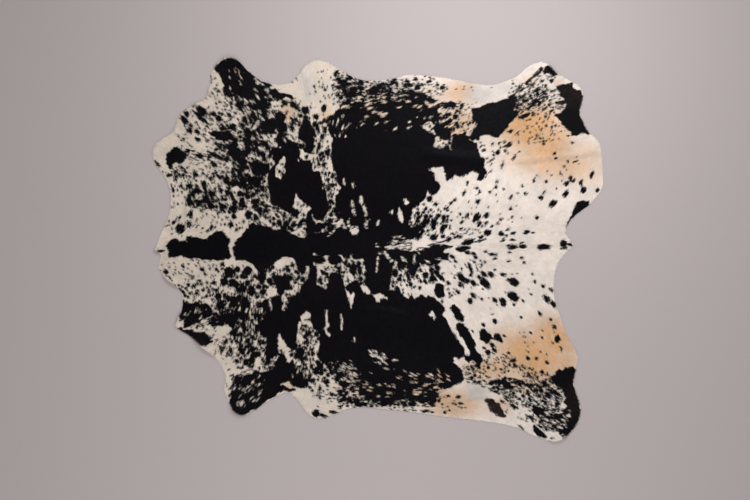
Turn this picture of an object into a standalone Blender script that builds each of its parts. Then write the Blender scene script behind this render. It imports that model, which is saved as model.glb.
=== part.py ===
"""A cowhide rug: one whole hide with the hair on, lying flat, hair side up.

Metres, +Z up. The origin is on the floor under the middle of the hide, +X runs down the back
from the neck to the tail, and +Y points to the hide's right flank.

The hide is one closed sheet. Its rim is a smooth curve through short tables, one for each
stretch of the cut edge. It lies flat on the floor, and is lifted only along the ridges, creases
and curled edges listed in RIDGES.
"""

import math
from typing import NamedTuple

import bmesh
import bpy
from mathutils import Vector
from mathutils.geometry import delaunay_2d_cdt

CM = 0.01
MM = 0.001

# Driving sizes.
LEATHER_THICKNESS = 2.4 * MM
LYING_HAIR_THICKNESS = 1.6 * MM
SHEET_THICKNESS = LEATHER_THICKNESS + LYING_HAIR_THICKNESS
LENGTH_SCALE = 1.0          # 1.0 is a large hide, about 2.24 m long over the neck and rump

# Spacing of the sheet's points.
RIM_STEP = 2.0 * CM         # along the cut edge
FIELD_STEP = 8.0 * CM       # over the flat field
RIDGE_STEP = 2.6 * CM       # along a ridge
RIDGE_ROWS = (-1.0, -0.5, 0.0, 0.5, 1.0)    # across a ridge, in half widths
FIELD_CLEARANCE = 0.45      # of FIELD_STEP, from any point already placed
RIDGE_CLEARANCE = 1.0 * CM  # from the cut edge, or from another ridge's points

RIDGE_END_FADE = 0.6        # the lower, the longer a ridge keeps its height towards its ends
SHARP_ANGLE = 40            # degrees: sharper bends than this stay sharp in the shading

COAT_COLOUR = (0.62, 0.56, 0.48, 1.0)
COAT_ROUGHNESS = 0.55
FLESH_COLOUR = (0.55, 0.47, 0.38, 1.0)
FLESH_ROUGHNESS = 0.85


class Edge(NamedTuple):
    """A point of the cut edge, in centimetres: along the back, and across it."""

    along: float
    across: float
    corner: bool = False


class Ridge(NamedTuple):
    """A soft ridge in the sheet: lengths in centimetres, height in millimetres.

    It runs from (x0, y0) to (x1, y1), bowed sideways by `bow` at its middle. It fades out at its
    ends, or runs on to the rim where it ends past it.
    """

    x0: float
    y0: float
    x1: float
    y1: float
    bow: float
    half_width: float
    height: float


# The cut edge, clockwise as seen from above, from the tip of the neck.
RIM = {
    "neck tip": [
        Edge(-111.3, -0.2, corner=True),
        Edge(-108.5, 7.3),
        Edge(-104.5, 17.0),
        Edge(-103.5, 26.5),
        Edge(-105.2, 33.5),
    ],
    "right cheek": [
        Edge(-111.0, 43.0),
        Edge(-112.1, 46.5),
        Edge(-111.3, 51.0),
        Edge(-107.8, 54.6),
        Edge(-101.6, 58.7),
        Edge(-99.9, 64.3),
        Edge(-97.5, 68.0),
        Edge(-91.5, 71.7),
    ],
    "right fore leg": [
        Edge(-85.3, 75.8),
        Edge(-83.5, 82.7),
        Edge(-83.0, 87.5),
        Edge(-78.7, 93.4),
        Edge(-75.1, 95.0),
        Edge(-70.3, 94.0),
        Edge(-64.9, 88.8),
        Edge(-58.0, 83.8),
        Edge(-50.5, 82.0),
    ],
    "right elbow": [
        Edge(-43.5, 83.0),
        Edge(-38.8, 87.3),
        Edge(-36.0, 91.2),
        Edge(-31.2, 93.8),
        Edge(-26.5, 93.3),
        Edge(-18.4, 88.8),
    ],
    "right belly": [
        Edge(-9.5, 84.8),
        Edge(-2.0, 84.2),
        Edge(7.1, 85.0),
        Edge(15.8, 87.0),
        Edge(27.0, 86.0),
        Edge(38.7, 84.3),
        Edge(49.0, 82.2),
        Edge(56.5, 81.7),
    ],
    "right hind leg": [
        Edge(62.5, 83.2),
        Edge(69.5, 86.3),
        Edge(74.8, 90.9),
        Edge(79.4, 92.9),
        Edge(83.2, 92.6),
        Edge(89.5, 87.2),
        Edge(97.8, 82.6),
        Edge(101.2, 79.7),
        Edge(101.9, 75.4),
        Edge(100.7, 70.8),
        Edge(101.2, 65.7),
    ],
    "right rump": [
        Edge(104.6, 58.7),
        Edge(109.3, 53.9),
        Edge(111.0, 49.0),
        Edge(112.3, 36.5),
        Edge(111.6, 30.0),
        Edge(105.8, 22.6),
        Edge(96.1, 14.8),
    ],
    "tail": [
        Edge(93.6, 10.5),
        Edge(93.1, 8.0),
        Edge(94.9, 5.1),
        Edge(97.2, 1.9, corner=True),
        Edge(90.3, -5.6),
        Edge(88.3, -11.0),
    ],
    "left rump": [
        Edge(87.4, -18.5),
        Edge(88.4, -26.0),
        Edge(91.7, -36.3),
        Edge(94.6, -44.0),
        Edge(98.4, -50.5),
        Edge(99.4, -55.0),
    ],
    "left hind leg": [
        Edge(97.7, -65.0),
        Edge(98.2, -70.5),
        Edge(100.7, -79.6),
        Edge(99.6, -85.7),
        Edge(96.8, -90.3),
        Edge(92.5, -94.0),
        Edge(87.7, -95.7),
        Edge(78.0, -92.9),
        Edge(70.0, -89.3),
        Edge(59.6, -86.7),
    ],
    "left belly": [
        Edge(41.2, -84.5),
        Edge(30.0, -83.3),
        Edge(21.0, -81.8),
        Edge(3.9, -80.1),
        Edge(-5.0, -79.0),
        Edge(-15.5, -79.8),
    ],
    "left elbow": [
        Edge(-24.7, -83.4),
        Edge(-29.0, -84.5),
        Edge(-33.2, -83.7),
        Edge(-37.5, -78.6),
        Edge(-42.7, -72.1),
        Edge(-46.8, -71.4),
    ],
    "left fore leg": [
        Edge(-51.5, -73.8),
        Edge(-59.0, -78.7),
        Edge(-64.1, -81.7),
        Edge(-67.7, -82.6),
        Edge(-72.3, -80.2),
        Edge(-75.4, -73.1),
        Edge(-76.6, -70.0),
        Edge(-75.8, -63.0),
    ],
    "left cheek": [
        Edge(-80.5, -54.2),
        Edge(-86.5, -49.5),
        Edge(-93.5, -43.4),
        Edge(-99.8, -39.4),
        Edge(-100.4, -37.4),
        Edge(-98.0, -31.0),
        Edge(-97.4, -25.0),
    ],
    "left neck": [
        Edge(-99.6, -19.7),
        Edge(-106.3, -14.1),
        Edge(-109.6, -9.0),
        Edge(-108.4, -3.2),
    ],
}

# Where the hide doesn't lie flat.
RIDGES = {
    #                            x0     y0     x1     y1    bow  half_width  height
    "rump ridge": Ridge(114.0, 49.5, 58.0, 43.6, 0.8, 4.5, 8.0),
    "flank ridge": Ridge(60.0, 43.6, 20.0, 47.8, 0.0, 5.0, 4.0),
    "hind leg crease": Ridge(92.5, 60.0, 96.5, 43.0, -0.8, 3.2, 5.0),
    "tail crease": Ridge(30.0, 4.0, 100.0, 1.6, 0.4, 2.4, 4.0),
    "withers crease": Ridge(-106.0, 0.5, -34.0, 1.2, 0.5, 5.0, 3.5),
    "fore leg fold": Ridge(-88.5, 81.0, -73.0, 70.5, 0.6, 2.8, 8.0),
    "fore leg second fold": Ridge(-96.0, 73.0, -77.0, 68.0, 0.5, 3.2, 5.0),
    "neck crease": Ridge(-96.0, 29.0, -95.6, 6.0, 0.6, 2.6, 4.0),
    "neck tip curl": Ridge(-113.5, -2.0, -108.0, -0.4, 0.0, 3.4, 9.0),
    "left neck curl": Ridge(-109.5, -13.5, -99.5, -20.5, 0.8, 3.4, 9.0),
    "left cheek curl": Ridge(-102.5, -40.0, -97.5, -31.5, 0.5, 3.4, 8.0),
    "left armpit curl": Ridge(-94.5, -45.5, -81.0, -54.5, 0.4, 4.0, 9.0),
    "right cheek pucker": Ridge(-103.5, 60.5, -95.5, 53.5, 0.3, 2.8, 5.0),
    "right fore leg curl": Ridge(-83.0, 93.0, -67.0, 94.5, 1.8, 5.5, 8.0),
    "left fore leg curl": Ridge(-76.0, -78.5, -63.0, -84.0, -1.5, 5.5, 8.0),
    "right elbow fold": Ridge(-38.5, 92.0, -33.0, 73.0, 0.8, 4.8, 5.0),
    "right hind leg curl": Ridge(82.5, 93.5, 92.5, 86.5, 0.3, 3.4, 6.0),
    "left hind leg curl": Ridge(97.5, -93.5, 84.0, -97.5, -0.8, 4.6, 7.0),
    "left belly pucker": Ridge(44.5, -75.5, 57.0, -73.0, 0.6, 2.8, 5.0),
    "left flank crease": Ridge(-8.0, -30.5, 17.0, -34.0, 0.8, 3.6, 3.0),
    "rump hollow edge": Ridge(53.0, -9.0, 70.0, -3.5, 0.8, 4.2, 3.0),
}


def clear_scene():
    for obj in list(bpy.data.objects):
        bpy.data.objects.remove(obj, do_unlink=True)


def smooth_closed_curve(stations, corners, step):
    """Points every `step` or less along a smooth closed curve through the stations.

    At a corner the curve leaves and arrives straight, so that it keeps its point.
    """
    count = len(stations)
    curve = []
    for i in range(count):
        before, start = stations[i - 1], stations[i]
        end, after = stations[(i + 1) % count], stations[(i + 2) % count]
        chord = (end - start).length
        leave, arrive = end - start, end - start
        if not corners[i]:
            leave = (end - before) * (chord / (chord + (start - before).length))
        if not corners[(i + 1) % count]:
            arrive = (after - start) * (chord / (chord + (after - end).length))
        pieces = max(1, math.ceil(chord / step))
        for piece in range(pieces):
            t = piece / pieces
            curve.append(
                start * (1 + t * t * (2 * t - 3))
                + leave * (t * (1 - t) ** 2)
                + end * (t * t * (3 - 2 * t))
                + arrive * (t * t * (t - 1))
            )
    return curve


def rim_curve():
    """The cut edge, and the middle of its box, which goes to the origin."""
    edges = [edge for stretch in RIM.values() for edge in stretch]
    stations = [Vector((edge.along, edge.across)) * CM * LENGTH_SCALE for edge in edges]
    curve = smooth_closed_curve(stations, [edge.corner for edge in edges], RIM_STEP)
    low = Vector([min(point[axis] for point in curve) for axis in (0, 1)])
    high = Vector([max(point[axis] for point in curve) for axis in (0, 1)])
    middle = (low + high) / 2
    return [point - middle for point in curve], middle


class RidgeLine:
    """One row of RIDGES, ready to be measured from any point of the sheet."""

    def __init__(self, ridge, middle):
        self.start = Vector((ridge.x0, ridge.y0)) * CM * LENGTH_SCALE - middle
        end = Vector((ridge.x1, ridge.y1)) * CM * LENGTH_SCALE - middle
        self.length = (end - self.start).length
        self.along = (end - self.start) / self.length
        self.across = Vector((-self.along.y, self.along.x))
        self.bow = ridge.bow * CM * LENGTH_SCALE
        self.half_width = ridge.half_width * CM * LENGTH_SCALE
        self.height = ridge.height * MM

    def place(self, distance, offset):
        """The point at this distance along the ridge, and this far to its side."""
        share = distance / self.length
        sideways = offset + self.bow * math.sin(math.pi * share)
        return self.start + self.along * distance + self.across * sideways

    def lift(self, point):
        """How high the ridge raises the sheet at this point."""
        away = point - self.start
        distance = away.dot(self.along)
        if not 0 < distance < self.length:
            return 0.0
        share = distance / self.length
        offset = away.dot(self.across) - self.bow * math.sin(math.pi * share)
        if abs(offset) >= self.half_width:
            return 0.0
        crown = 0.5 + 0.5 * math.cos(math.pi * offset / self.half_width)
        fade = math.sin(math.pi * share) ** RIDGE_END_FADE
        return self.height * crown * fade


def sheet_lift(ridges, point):
    """The highest ridge over this point, or 0 where the sheet lies on the floor."""
    return max(ridge.lift(point) for ridge in ridges)


def is_inside(point, rim):
    """Whether the point is inside the rim, by how often a ray from it crosses the rim."""
    inside = False
    for start, end in zip(rim, rim[1:] + rim[:1]):
        if (start.y > point.y) != (end.y > point.y):
            crossing = start.x + (point.y - start.y) * (end.x - start.x) / (end.y - start.y)
            inside = inside != (point.x < crossing)
    return inside


def is_clear(point, placed, clearance):
    return all((point - other).length > clearance for other in placed)


def ridge_points(ridges, rim):
    """Rows of points along each ridge, so that the mesh can bend there."""
    points = []
    for ridge in ridges:
        taken = list(points)
        steps = math.ceil(ridge.length / RIDGE_STEP)
        for step in range(steps + 1):
            for row in RIDGE_ROWS:
                point = ridge.place(ridge.length * step / steps, row * ridge.half_width)
                if is_inside(point, rim) and is_clear(point, rim + taken, RIDGE_CLEARANCE):
                    points.append(point)
    return points


def field_points(rim, placed):
    """An even triangular field of points over the rest of the sheet."""
    points = []
    row_height = FIELD_STEP * math.sqrt(3) / 2
    low_x = min(point.x for point in rim)
    low_y = min(point.y for point in rim)
    rows = math.ceil((max(point.y for point in rim) - low_y) / row_height)
    columns = math.ceil((max(point.x for point in rim) - low_x) / FIELD_STEP)
    for row in range(rows + 1):
        for column in range(columns + 1):
            x = low_x + FIELD_STEP * (column + 0.5 * (row % 2))
            point = Vector((x, low_y + row_height * row))
            if is_inside(point, rim) and is_clear(point, placed, FIELD_STEP * FIELD_CLEARANCE):
                points.append(point)
    return points


def principled(name, colour, roughness):
    material = bpy.data.materials.new(name)
    material.use_nodes = True
    material.diffuse_color = colour
    shader = material.node_tree.nodes["Principled BSDF"]
    shader.inputs["Base Color"].default_value = colour
    shader.inputs["Roughness"].default_value = roughness
    shader.inputs["Metallic"].default_value = 0.0
    return material


def make_hide():
    """The hide as one closed sheet: hair side, flesh side, and the cut edge between them."""
    rim, middle = rim_curve()
    ridges = [RidgeLine(ridge, middle) for ridge in RIDGES.values()]
    inner = ridge_points(ridges, rim)
    inner += field_points(rim, rim + inner)
    rim_edges = [(i, (i + 1) % len(rim)) for i in range(len(rim))]
    points, _, triangles, *_ = delaunay_2d_cdt(rim + inner, rim_edges, [], 1, 1e-6)

    bm = bmesh.new()
    lifts = [sheet_lift(ridges, point) for point in points]
    under = [bm.verts.new((p.x, p.y, lift)) for p, lift in zip(points, lifts)]
    over = [bm.verts.new((p.x, p.y, lift + SHEET_THICKNESS)) for p, lift in zip(points, lifts)]
    for a, b, c in triangles:
        coat_face = bm.faces.new((over[a], over[b], over[c]))
        coat_face.smooth = True
        flesh_face = bm.faces.new((under[c], under[b], under[a]))
        flesh_face.smooth = True
        flesh_face.material_index = 1
    for i, j in rim_edges:
        edge_face = bm.faces.new((under[i], under[j], over[j], over[i]))
        edge_face.material_index = 1
    bmesh.ops.recalc_face_normals(bm, faces=bm.faces)

    mesh = bpy.data.meshes.new("hide")
    bm.to_mesh(mesh)
    bm.free()
    mesh.set_sharp_from_angle(angle=math.radians(SHARP_ANGLE))
    mesh.materials.append(principled("coat", COAT_COLOUR, COAT_ROUGHNESS))
    mesh.materials.append(principled("flesh side", FLESH_COLOUR, FLESH_ROUGHNESS))
    hide = bpy.data.objects.new("hide", mesh)
    bpy.context.scene.collection.objects.link(hide)
    return hide


clear_scene()
make_hide()
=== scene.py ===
"""The finish of a cowhide rug that lies hair side up on a pale floor.

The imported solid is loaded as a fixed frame. The leather sheet is drawn inside its rim, many
thousands of short locks of hair lie on it, and both read their colours from one painted coat.
The coat is painted cell by cell on a canvas, from the tables below. Dark patches, pale windows,
streaks and single spots each have their own place. For the rest, ovals say how dappled, frayed,
tan or cream each part of the hide is, and the dapples fall at random.

The tables are in the hide's own centimetres. The first number runs along the back from the neck to
the tail, and the second across it, towards the right flank. Everything in the scene is in metres.
"""

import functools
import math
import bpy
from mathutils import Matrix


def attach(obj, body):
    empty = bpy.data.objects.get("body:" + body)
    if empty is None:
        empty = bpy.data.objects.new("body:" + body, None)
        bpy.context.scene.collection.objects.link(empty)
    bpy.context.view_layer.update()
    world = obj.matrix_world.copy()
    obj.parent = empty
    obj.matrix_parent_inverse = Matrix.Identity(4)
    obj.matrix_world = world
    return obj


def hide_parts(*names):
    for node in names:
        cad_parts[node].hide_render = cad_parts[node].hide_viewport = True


bl_info = {
    "name": "Cowhide Rug",
    "version": (1, 0, 0),
    "blender": (4, 5, 0),
    "location": "3D View > Sidebar > Cowhide Rug",
    "description": "Builds a spotted cowhide rug, with its leather and its short coat, in a plain studio",
    "category": "Object",
}

from typing import NamedTuple

import bpy
import numpy as np
from mathutils import Vector
from mathutils.geometry import delaunay_2d_cdt

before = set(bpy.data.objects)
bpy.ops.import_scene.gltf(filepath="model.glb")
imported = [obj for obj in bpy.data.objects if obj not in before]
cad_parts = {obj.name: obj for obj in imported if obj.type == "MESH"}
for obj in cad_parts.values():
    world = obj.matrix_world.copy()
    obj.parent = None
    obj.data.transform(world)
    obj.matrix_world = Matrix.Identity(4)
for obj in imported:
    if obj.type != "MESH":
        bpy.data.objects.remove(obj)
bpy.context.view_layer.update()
CM = 0.01
MM = 0.001

NODE = "hide"
BODY = "root"

# The painted fields that the meshes carry to their materials.
COAT_FIELDS = ("ink", "tan", "bare", "brown", "cream", "shade")

# The quarters of the coat, by the sides of the middle that they lie on.
COAT_PARTS = {
    "coat_right_fore": (-1, 1),
    "coat_right_hind": (1, 1),
    "coat_left_fore": (-1, -1),
    "coat_left_hind": (1, -1),
}

# Places in the tables' centimetres.
HIDE_MIDDLE = (0.12, -0.35)  # the middle of the hide's box
PICTURE_MIDDLE = (-1.5, -0.5)  # what the camera is over
CREAM_FADE = (-45, 30)  # along the back, where cream turns to white

# The canvas, in centimetres.
CELL = 0.2
CANVAS_LOW = (-115.0, -98.5)
CANVAS_HIGH = (115.0, 98.5)
REACH = 3.0  # how far from an edge the canvas still knows its distance
LAY_STEP = 2.0  # between the places where the lay of the hair is worked out
LAY_BLUR = 3.0  # how softly the lay turns near a place of the table
LAY_PULL = 3.0  # the higher, the less the far places count
STREAK_MARGIN = 1.0  # painted round a streak
SPOT_MARGIN = 0.8  # painted round a single spot

# The relief of the sheet.
RIDGE_LIFT = 1.7  # hair stands up along a ridge, so it is higher than in the solid
RIDGE_END_FADE = 0.6  # the lower, the longer a ridge keeps its height towards its ends
RIDGE_END = 0.4  # of the half width, over which an end runs out
BEND_REACH = 1.2  # of the half width, where the mesh is finer for the ridge
TOP_SLACK = 0.5 * MM  # how far a face of the hair side may cut a bend short
UNDER_SLACK = 0.7 * MM  # and a face of the flesh side
COLOUR_EDGE = 0.42  # how near a change of colour the mesh is fine, in centimetres
RIM_CLEARANCE = 0.6  # of the step, between the cut edge and the points inside it
FLOOR_GAP = 0.3 * MM  # under the flesh side
SHARP_ANGLE = 50  # degrees: sharper bends than this stay sharp in the shading
UPWARD = 0.5  # the least upward part of a face of the solid's hair side
FLESH_MAP_SCALE = 0.16  # the flesh side's share of the leather's map, and its corner there
FLESH_MAP_CORNER = (0.01, 0.855)

# Random clouds over the hide: each pair is a strength, and the size of the lumps in centimetres.
OUTLINE_WANDER = ((0.6, 3.5), (0.45, 1.5))  # moves the outlines of patches and windows
HAIR_WANDER = ((0.2, 1.0),)  # moves them a little more, with the streaks and single spots
SHARE_CLOUD = ((0.4, 5),)  # more and fewer dapples
CREAM_CLOUD = ((0.22, 9), (0.2, 3))  # creamier and whiter hair
SHADE_CLOUD = ((0.2, 7), (0.15, 2))  # lighter and darker hair
SWELL_CLOUD = ((0.5, 17), (0.3, 7), (0.2, 3))  # the slow waves of the sheet

# The spots and streaks, in centimetres where they are lengths.
STREAK_WIDTH = 0.8  # of the width in the table
SPOT_RIM = 0.1  # how far the hair of a spot reaches past its roots
SPOT_TURN = 6  # degrees from the lay of the hair, at random
SPOT_SPACINGS = (4.8, 3.3, 2.2, 1.2)  # of the nets of random spots
LARGE_SPOTS_FADE = (0.4, 0.8)  # a net fades where its spots would be too large for their place
SMALL_SPOTS_FADE = (0.1, 0.55)  # and where they would be too small
LEAST_SHARE = 0.01  # of the hide, below which no spot is drawn
SPOT_LUCK = 1.2  # the higher, the more meshes of a net hold a spot
SPOT_RADIUS = (0.24, 0.34)  # of the spacing: the least, and the gain with the spotted share
LUCKY_RADIUS = (0.6, 0.5)  # of that radius: the least, and the gain with luck
TICK_STRETCH = 0.6  # the finest spots are drawn out most along the hair
WINDOW_STRETCH = 2.2  # windows are drawn out along the hair

# How the hair breaks up the edges of the dark, in centimetres.
OVAL_EDGE = 0.5  # of an oval's reach, over which the dappling changes
ZONE_EDGE = 1.6  # how steeply a zone gains its strength inside its edge
CLUMP = 0.5  # the size of the clumps of hair, before they are combed
CLUMP_COMB = 5  # cells that a clump is drawn out, each way along the hair
HAIR_COMB = 4  # and a single hair
LEAST_FRAY = 0.38  # outside the frayed zones
DAPPLE_FRAY = 0.12
WINDOW_FRAY = 0.4
LEAST_MIX = 0.12  # outside the mixed zones
STRAY_HAIRS = (0.7, 1.6)  # common short ones, and rare long ones
LONGEST_STRAY = 2.5  # of either kind, before the zone's strength
CLOUD_EDGE = 3  # the higher, the flatter a cloud of colour and the sharper its edge
CLOUD_FRAY = 0.3
CREAM_FRAY = 0.1
SHADE_FRAY = 0.2

# The locks of hair. Pairs are the least and the most, as shares of the middle size.
LOCK_SPREAD = 0.95  # of the spacing, how far a root is moved at random
LOCK_TURN = 0.16  # radians from the lay of the hair
CLUMP_TURN = 0.25  # radians, which the locks of a clump turn together
LOCK_LENGTHS = (0.7, 1.35)
LOCK_WIDTHS = (0.7, 1.25)
WIDEST_PLACE = (0.4, 0.6)  # along the lock
TIP_SWAY = 0.12  # of the length, to either side
LOCK_RISES = (0.6, 1.3)
TIP_RISES = (0.3, 1.1)  # of the lock's own rise
LOCK_ROLL = 0.3 * MM  # how far one side of a lock is above its middle
ROOT_DEPTH = 0.2 * MM  # in the leather
LOCK_CHANGE = 0.15  # how much a lock differs from its place, in ink and in shade
STRANDS = 50  # each way, in the noise that the locks take their strands from
COAT_REACH = 1.2  # metres from the middle, past every edge

# Seeds of the random draws.
PAINT_SEED = 7
POINT_SEED = 11
THINNING_SEED = 12
FIRST_LOCK_SEED = 21

# The materials, and the studio in metres.
INK_EDGE = (-0.36, 0.26)  # of the ink, from the last pale hair to full dark hair
HAIR_GLOSS = 0.07  # specular level
HAIR_SOFTNESS = 0.6  # diffuse roughness
STRAND_SCALE = (7.0, 1.2, 1.0)  # strands are fine across and long along a lock
FLESH_COLOURS = ((0.52, 0.44, 0.35), (0.62, 0.56, 0.48))
CUT_COLOURS = ((0.40, 0.36, 0.33), (0.60, 0.56, 0.52))
FLOOR_REACH = 12.0
LAMPS = {
    # place, what it is aimed at, and size
    "lamp_right_flank": ((0.5, 1.4, 1.8), (0.4, 0.6, 0.0), 1.3),
    "lamp_left_flank": ((0.0, -2.4, 2.6), (0.0, -1.0, 0.0), 1.5),
}


class Ridge(NamedTuple):
    """A soft ridge in the sheet: lengths in centimetres, height in millimetres.

    It runs from (x0, y0) to (x1, y1), bowed sideways by `bow` at its middle.
    """

    x0: float
    y0: float
    x1: float
    y1: float
    bow: float
    half_width: float
    height: float


class Streak(NamedTuple):
    """Pale hair that parts a dark patch: half its width, and the line that it follows."""

    half_width: float
    line: tuple


class Zone(NamedTuple):
    """An oval part of the hide, and how strong something is there."""

    x: float
    y: float
    reach_x: float
    reach_y: float
    turn: float
    amount: float


class Dapple(NamedTuple):
    """An oval part of the hide, how much of it is spotted, and how large its largest spots are."""

    x: float
    y: float
    reach_x: float
    reach_y: float
    turn: float
    share: float
    size: float


def zones(*rows):
    return tuple(Zone(*row) for row in rows)


def dapples(*rows):
    return tuple(Dapple(*row) for row in rows)


# Where the hide doesn't lie flat: the solid's ridges, some of them slimmer and higher, and two
# partings of the hair.
RIDGES = {
    #                           x0     y0     x1     y1    bow  half_width  height
    "rump ridge": Ridge(114.0, 49.5, 58.0, 43.6, 0.8, 3.2, 8.5),
    "flank ridge": Ridge(60.0, 43.6, 20.0, 47.8, 0.0, 5.0, 4.0),
    "hind leg crease": Ridge(92.5, 60.0, 96.5, 43.0, -0.8, 3.2, 5.0),
    "tail crease": Ridge(30.0, 4.0, 100.0, 1.6, 0.4, 2.4, 4.0),
    "withers crease": Ridge(-106.0, 0.5, -34.0, 1.2, 0.5, 5.0, 3.5),
    "fore leg fold": Ridge(-88.5, 81.0, -73.0, 70.5, 0.6, 2.1, 8.5),
    "fore leg second fold": Ridge(-96.0, 73.0, -77.0, 68.0, 0.5, 2.2, 6.5),
    "neck crease": Ridge(-96.0, 29.0, -95.6, 6.0, 0.6, 1.9, 5.0),
    "neck tip curl": Ridge(-113.5, -2.0, -108.0, -0.4, 0.0, 3.4, 9.0),
    "left neck curl": Ridge(-109.5, -13.5, -99.5, -20.5, 0.8, 3.4, 9.0),
    "left cheek curl": Ridge(-102.5, -40.0, -97.5, -31.5, 0.5, 3.4, 8.0),
    "left armpit curl": Ridge(-94.5, -45.5, -81.0, -54.5, 0.4, 4.0, 9.0),
    "right cheek pucker": Ridge(-103.5, 60.5, -95.5, 53.5, 0.3, 2.0, 6.0),
    "right fore leg curl": Ridge(-83.0, 93.0, -67.0, 94.5, 1.8, 5.5, 8.0),
    "left fore leg curl": Ridge(-76.0, -78.5, -63.0, -84.0, -1.5, 5.5, 8.0),
    "right elbow fold": Ridge(-38.5, 92.0, -33.0, 73.0, 0.8, 3.2, 6.5),
    "right hind leg curl": Ridge(82.5, 93.5, 92.5, 86.5, 0.3, 3.4, 6.0),
    "left hind leg curl": Ridge(97.5, -93.5, 84.0, -97.5, -0.8, 4.6, 7.0),
    "left belly pucker": Ridge(44.5, -75.5, 57.0, -73.0, 0.6, 1.8, 5.5),
    "left flank crease": Ridge(-8.0, -30.5, 17.0, -34.0, 0.8, 3.6, 3.0),
    "rump hollow edge": Ridge(53.0, -9.0, 70.0, -3.5, 0.8, 4.2, 3.0),
    "parting along the loin": Ridge(22.0, 2.6, 82.0, 2.2, 0.3, 0.9, 2.2),
    "parting at the withers": Ridge(-80.0, 1.6, -30.0, 2.2, 0.2, 1.2, 1.2),
}

# The lay of the hair: x, y, and the way that the hair points there, in degrees from the tail way.
LAY = (
    (-108, 0, 0), (-85, 0, 0), (-60, 0, 0), (-30, 0, 0), (0, 0, 0), (30, 1, 0), (60, 2, 0), (92, 2, 0),
    (-101, 13, 55), (-103, 30, 100), (-95, 30, 120), (-108, 46, 150), (-90, 46, 165), (-97, 64, 142),
    (-88, 66, 135), (-78, 56, 165), (-70, 47, 140), (-80, 68, 138), (-81, 84, 115), (-73, 88, 115),
    (-62, 82, 138), (-60, 66, 122), (-66, 56, 125), (-82, 22, 122), (-72, 20, 120), (-61, 33, 103),
    (-57, 20, 138), (-50, 40, 72), (-35, 35, 90), (-25, 40, 82), (-47, 77, 160), (-40, 66, 120),
    (-33, 58, 95), (-28, 66, 75), (-33, 86, 100), (-12, 83, -25), (0, 72, 12), (5, 82, 0), (15, 83, -5),
    (12, 64, 25), (-10, 45, 82), (15, 45, 75), (10, 25, 80), (30, 62, 45), (30, 73, 25), (40, 80, 20),
    (45, 60, 35), (60, 68, 25), (55, 78, 20), (66, 59, 35), (66, 50, 40), (75, 78, 34), (77, 87, 38),
    (85, 83, 30), (95, 78, 17), (97, 66, -40), (85, 62, 60), (80, 50, 45), (100, 50, 10), (105, 36, 75),
    (95, 30, 58), (82, 27, 55), (87, 22, 42), (60, 30, 70), (48, 17, 68), (55, 10, 50), (67, 8, 15),
    (32, 10, 65), (45, 30, 62), (102, 22, 38), (88, 8, 0), (28, 15, 75), (40, 6, 18), (-88, -10, -50),
    (-94, -16, -48), (-105, -12, -45), (-75, -13, -75), (-92, -30, -110), (-85, -38, -160),
    (-97, -38, -150), (-88, -44, -150), (-80, -30, -100), (-71, -27, -103), (-62, -38, -92),
    (-58, -14, -82), (-50, -55, -122), (-40, -45, -95), (-45, -30, -92), (-66, -52, -118),
    (-74, -60, -140), (-70, -74, -130), (-60, -74, -140), (-38, -75, -80), (-17, -62, -30),
    (-24, -80, -10), (-15, -73, 12), (-20, -30, -88), (0, -40, -85), (-10, -15, -88), (5, -56, -35),
    (5, -68, -18), (5, -77, 0), (30, -62, -50), (28, -68, 12), (28, -78, 0), (20, -15, -80),
    (20, -40, -75), (40, -33, -60), (44, -45, -64), (30, -22, -66), (46, -10, -62), (54, -16, -45),
    (67, -24, -48), (62, -26, -50), (88, -27, -65), (84, -24, -60), (57, -3, 0), (72, -6, 5),
    (82, -17, -45), (58, -44, -45), (75, -45, -55), (90, -45, -60), (67, -57, -45), (50, -62, -30),
    (45, -78, -12), (60, -80, -44), (65, -68, -6), (80, -91, -50), (77, -64, -48), (90, -74, -32),
    (85, -86, -22), (95, -79, -6), (94, -66, -50),
)

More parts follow.
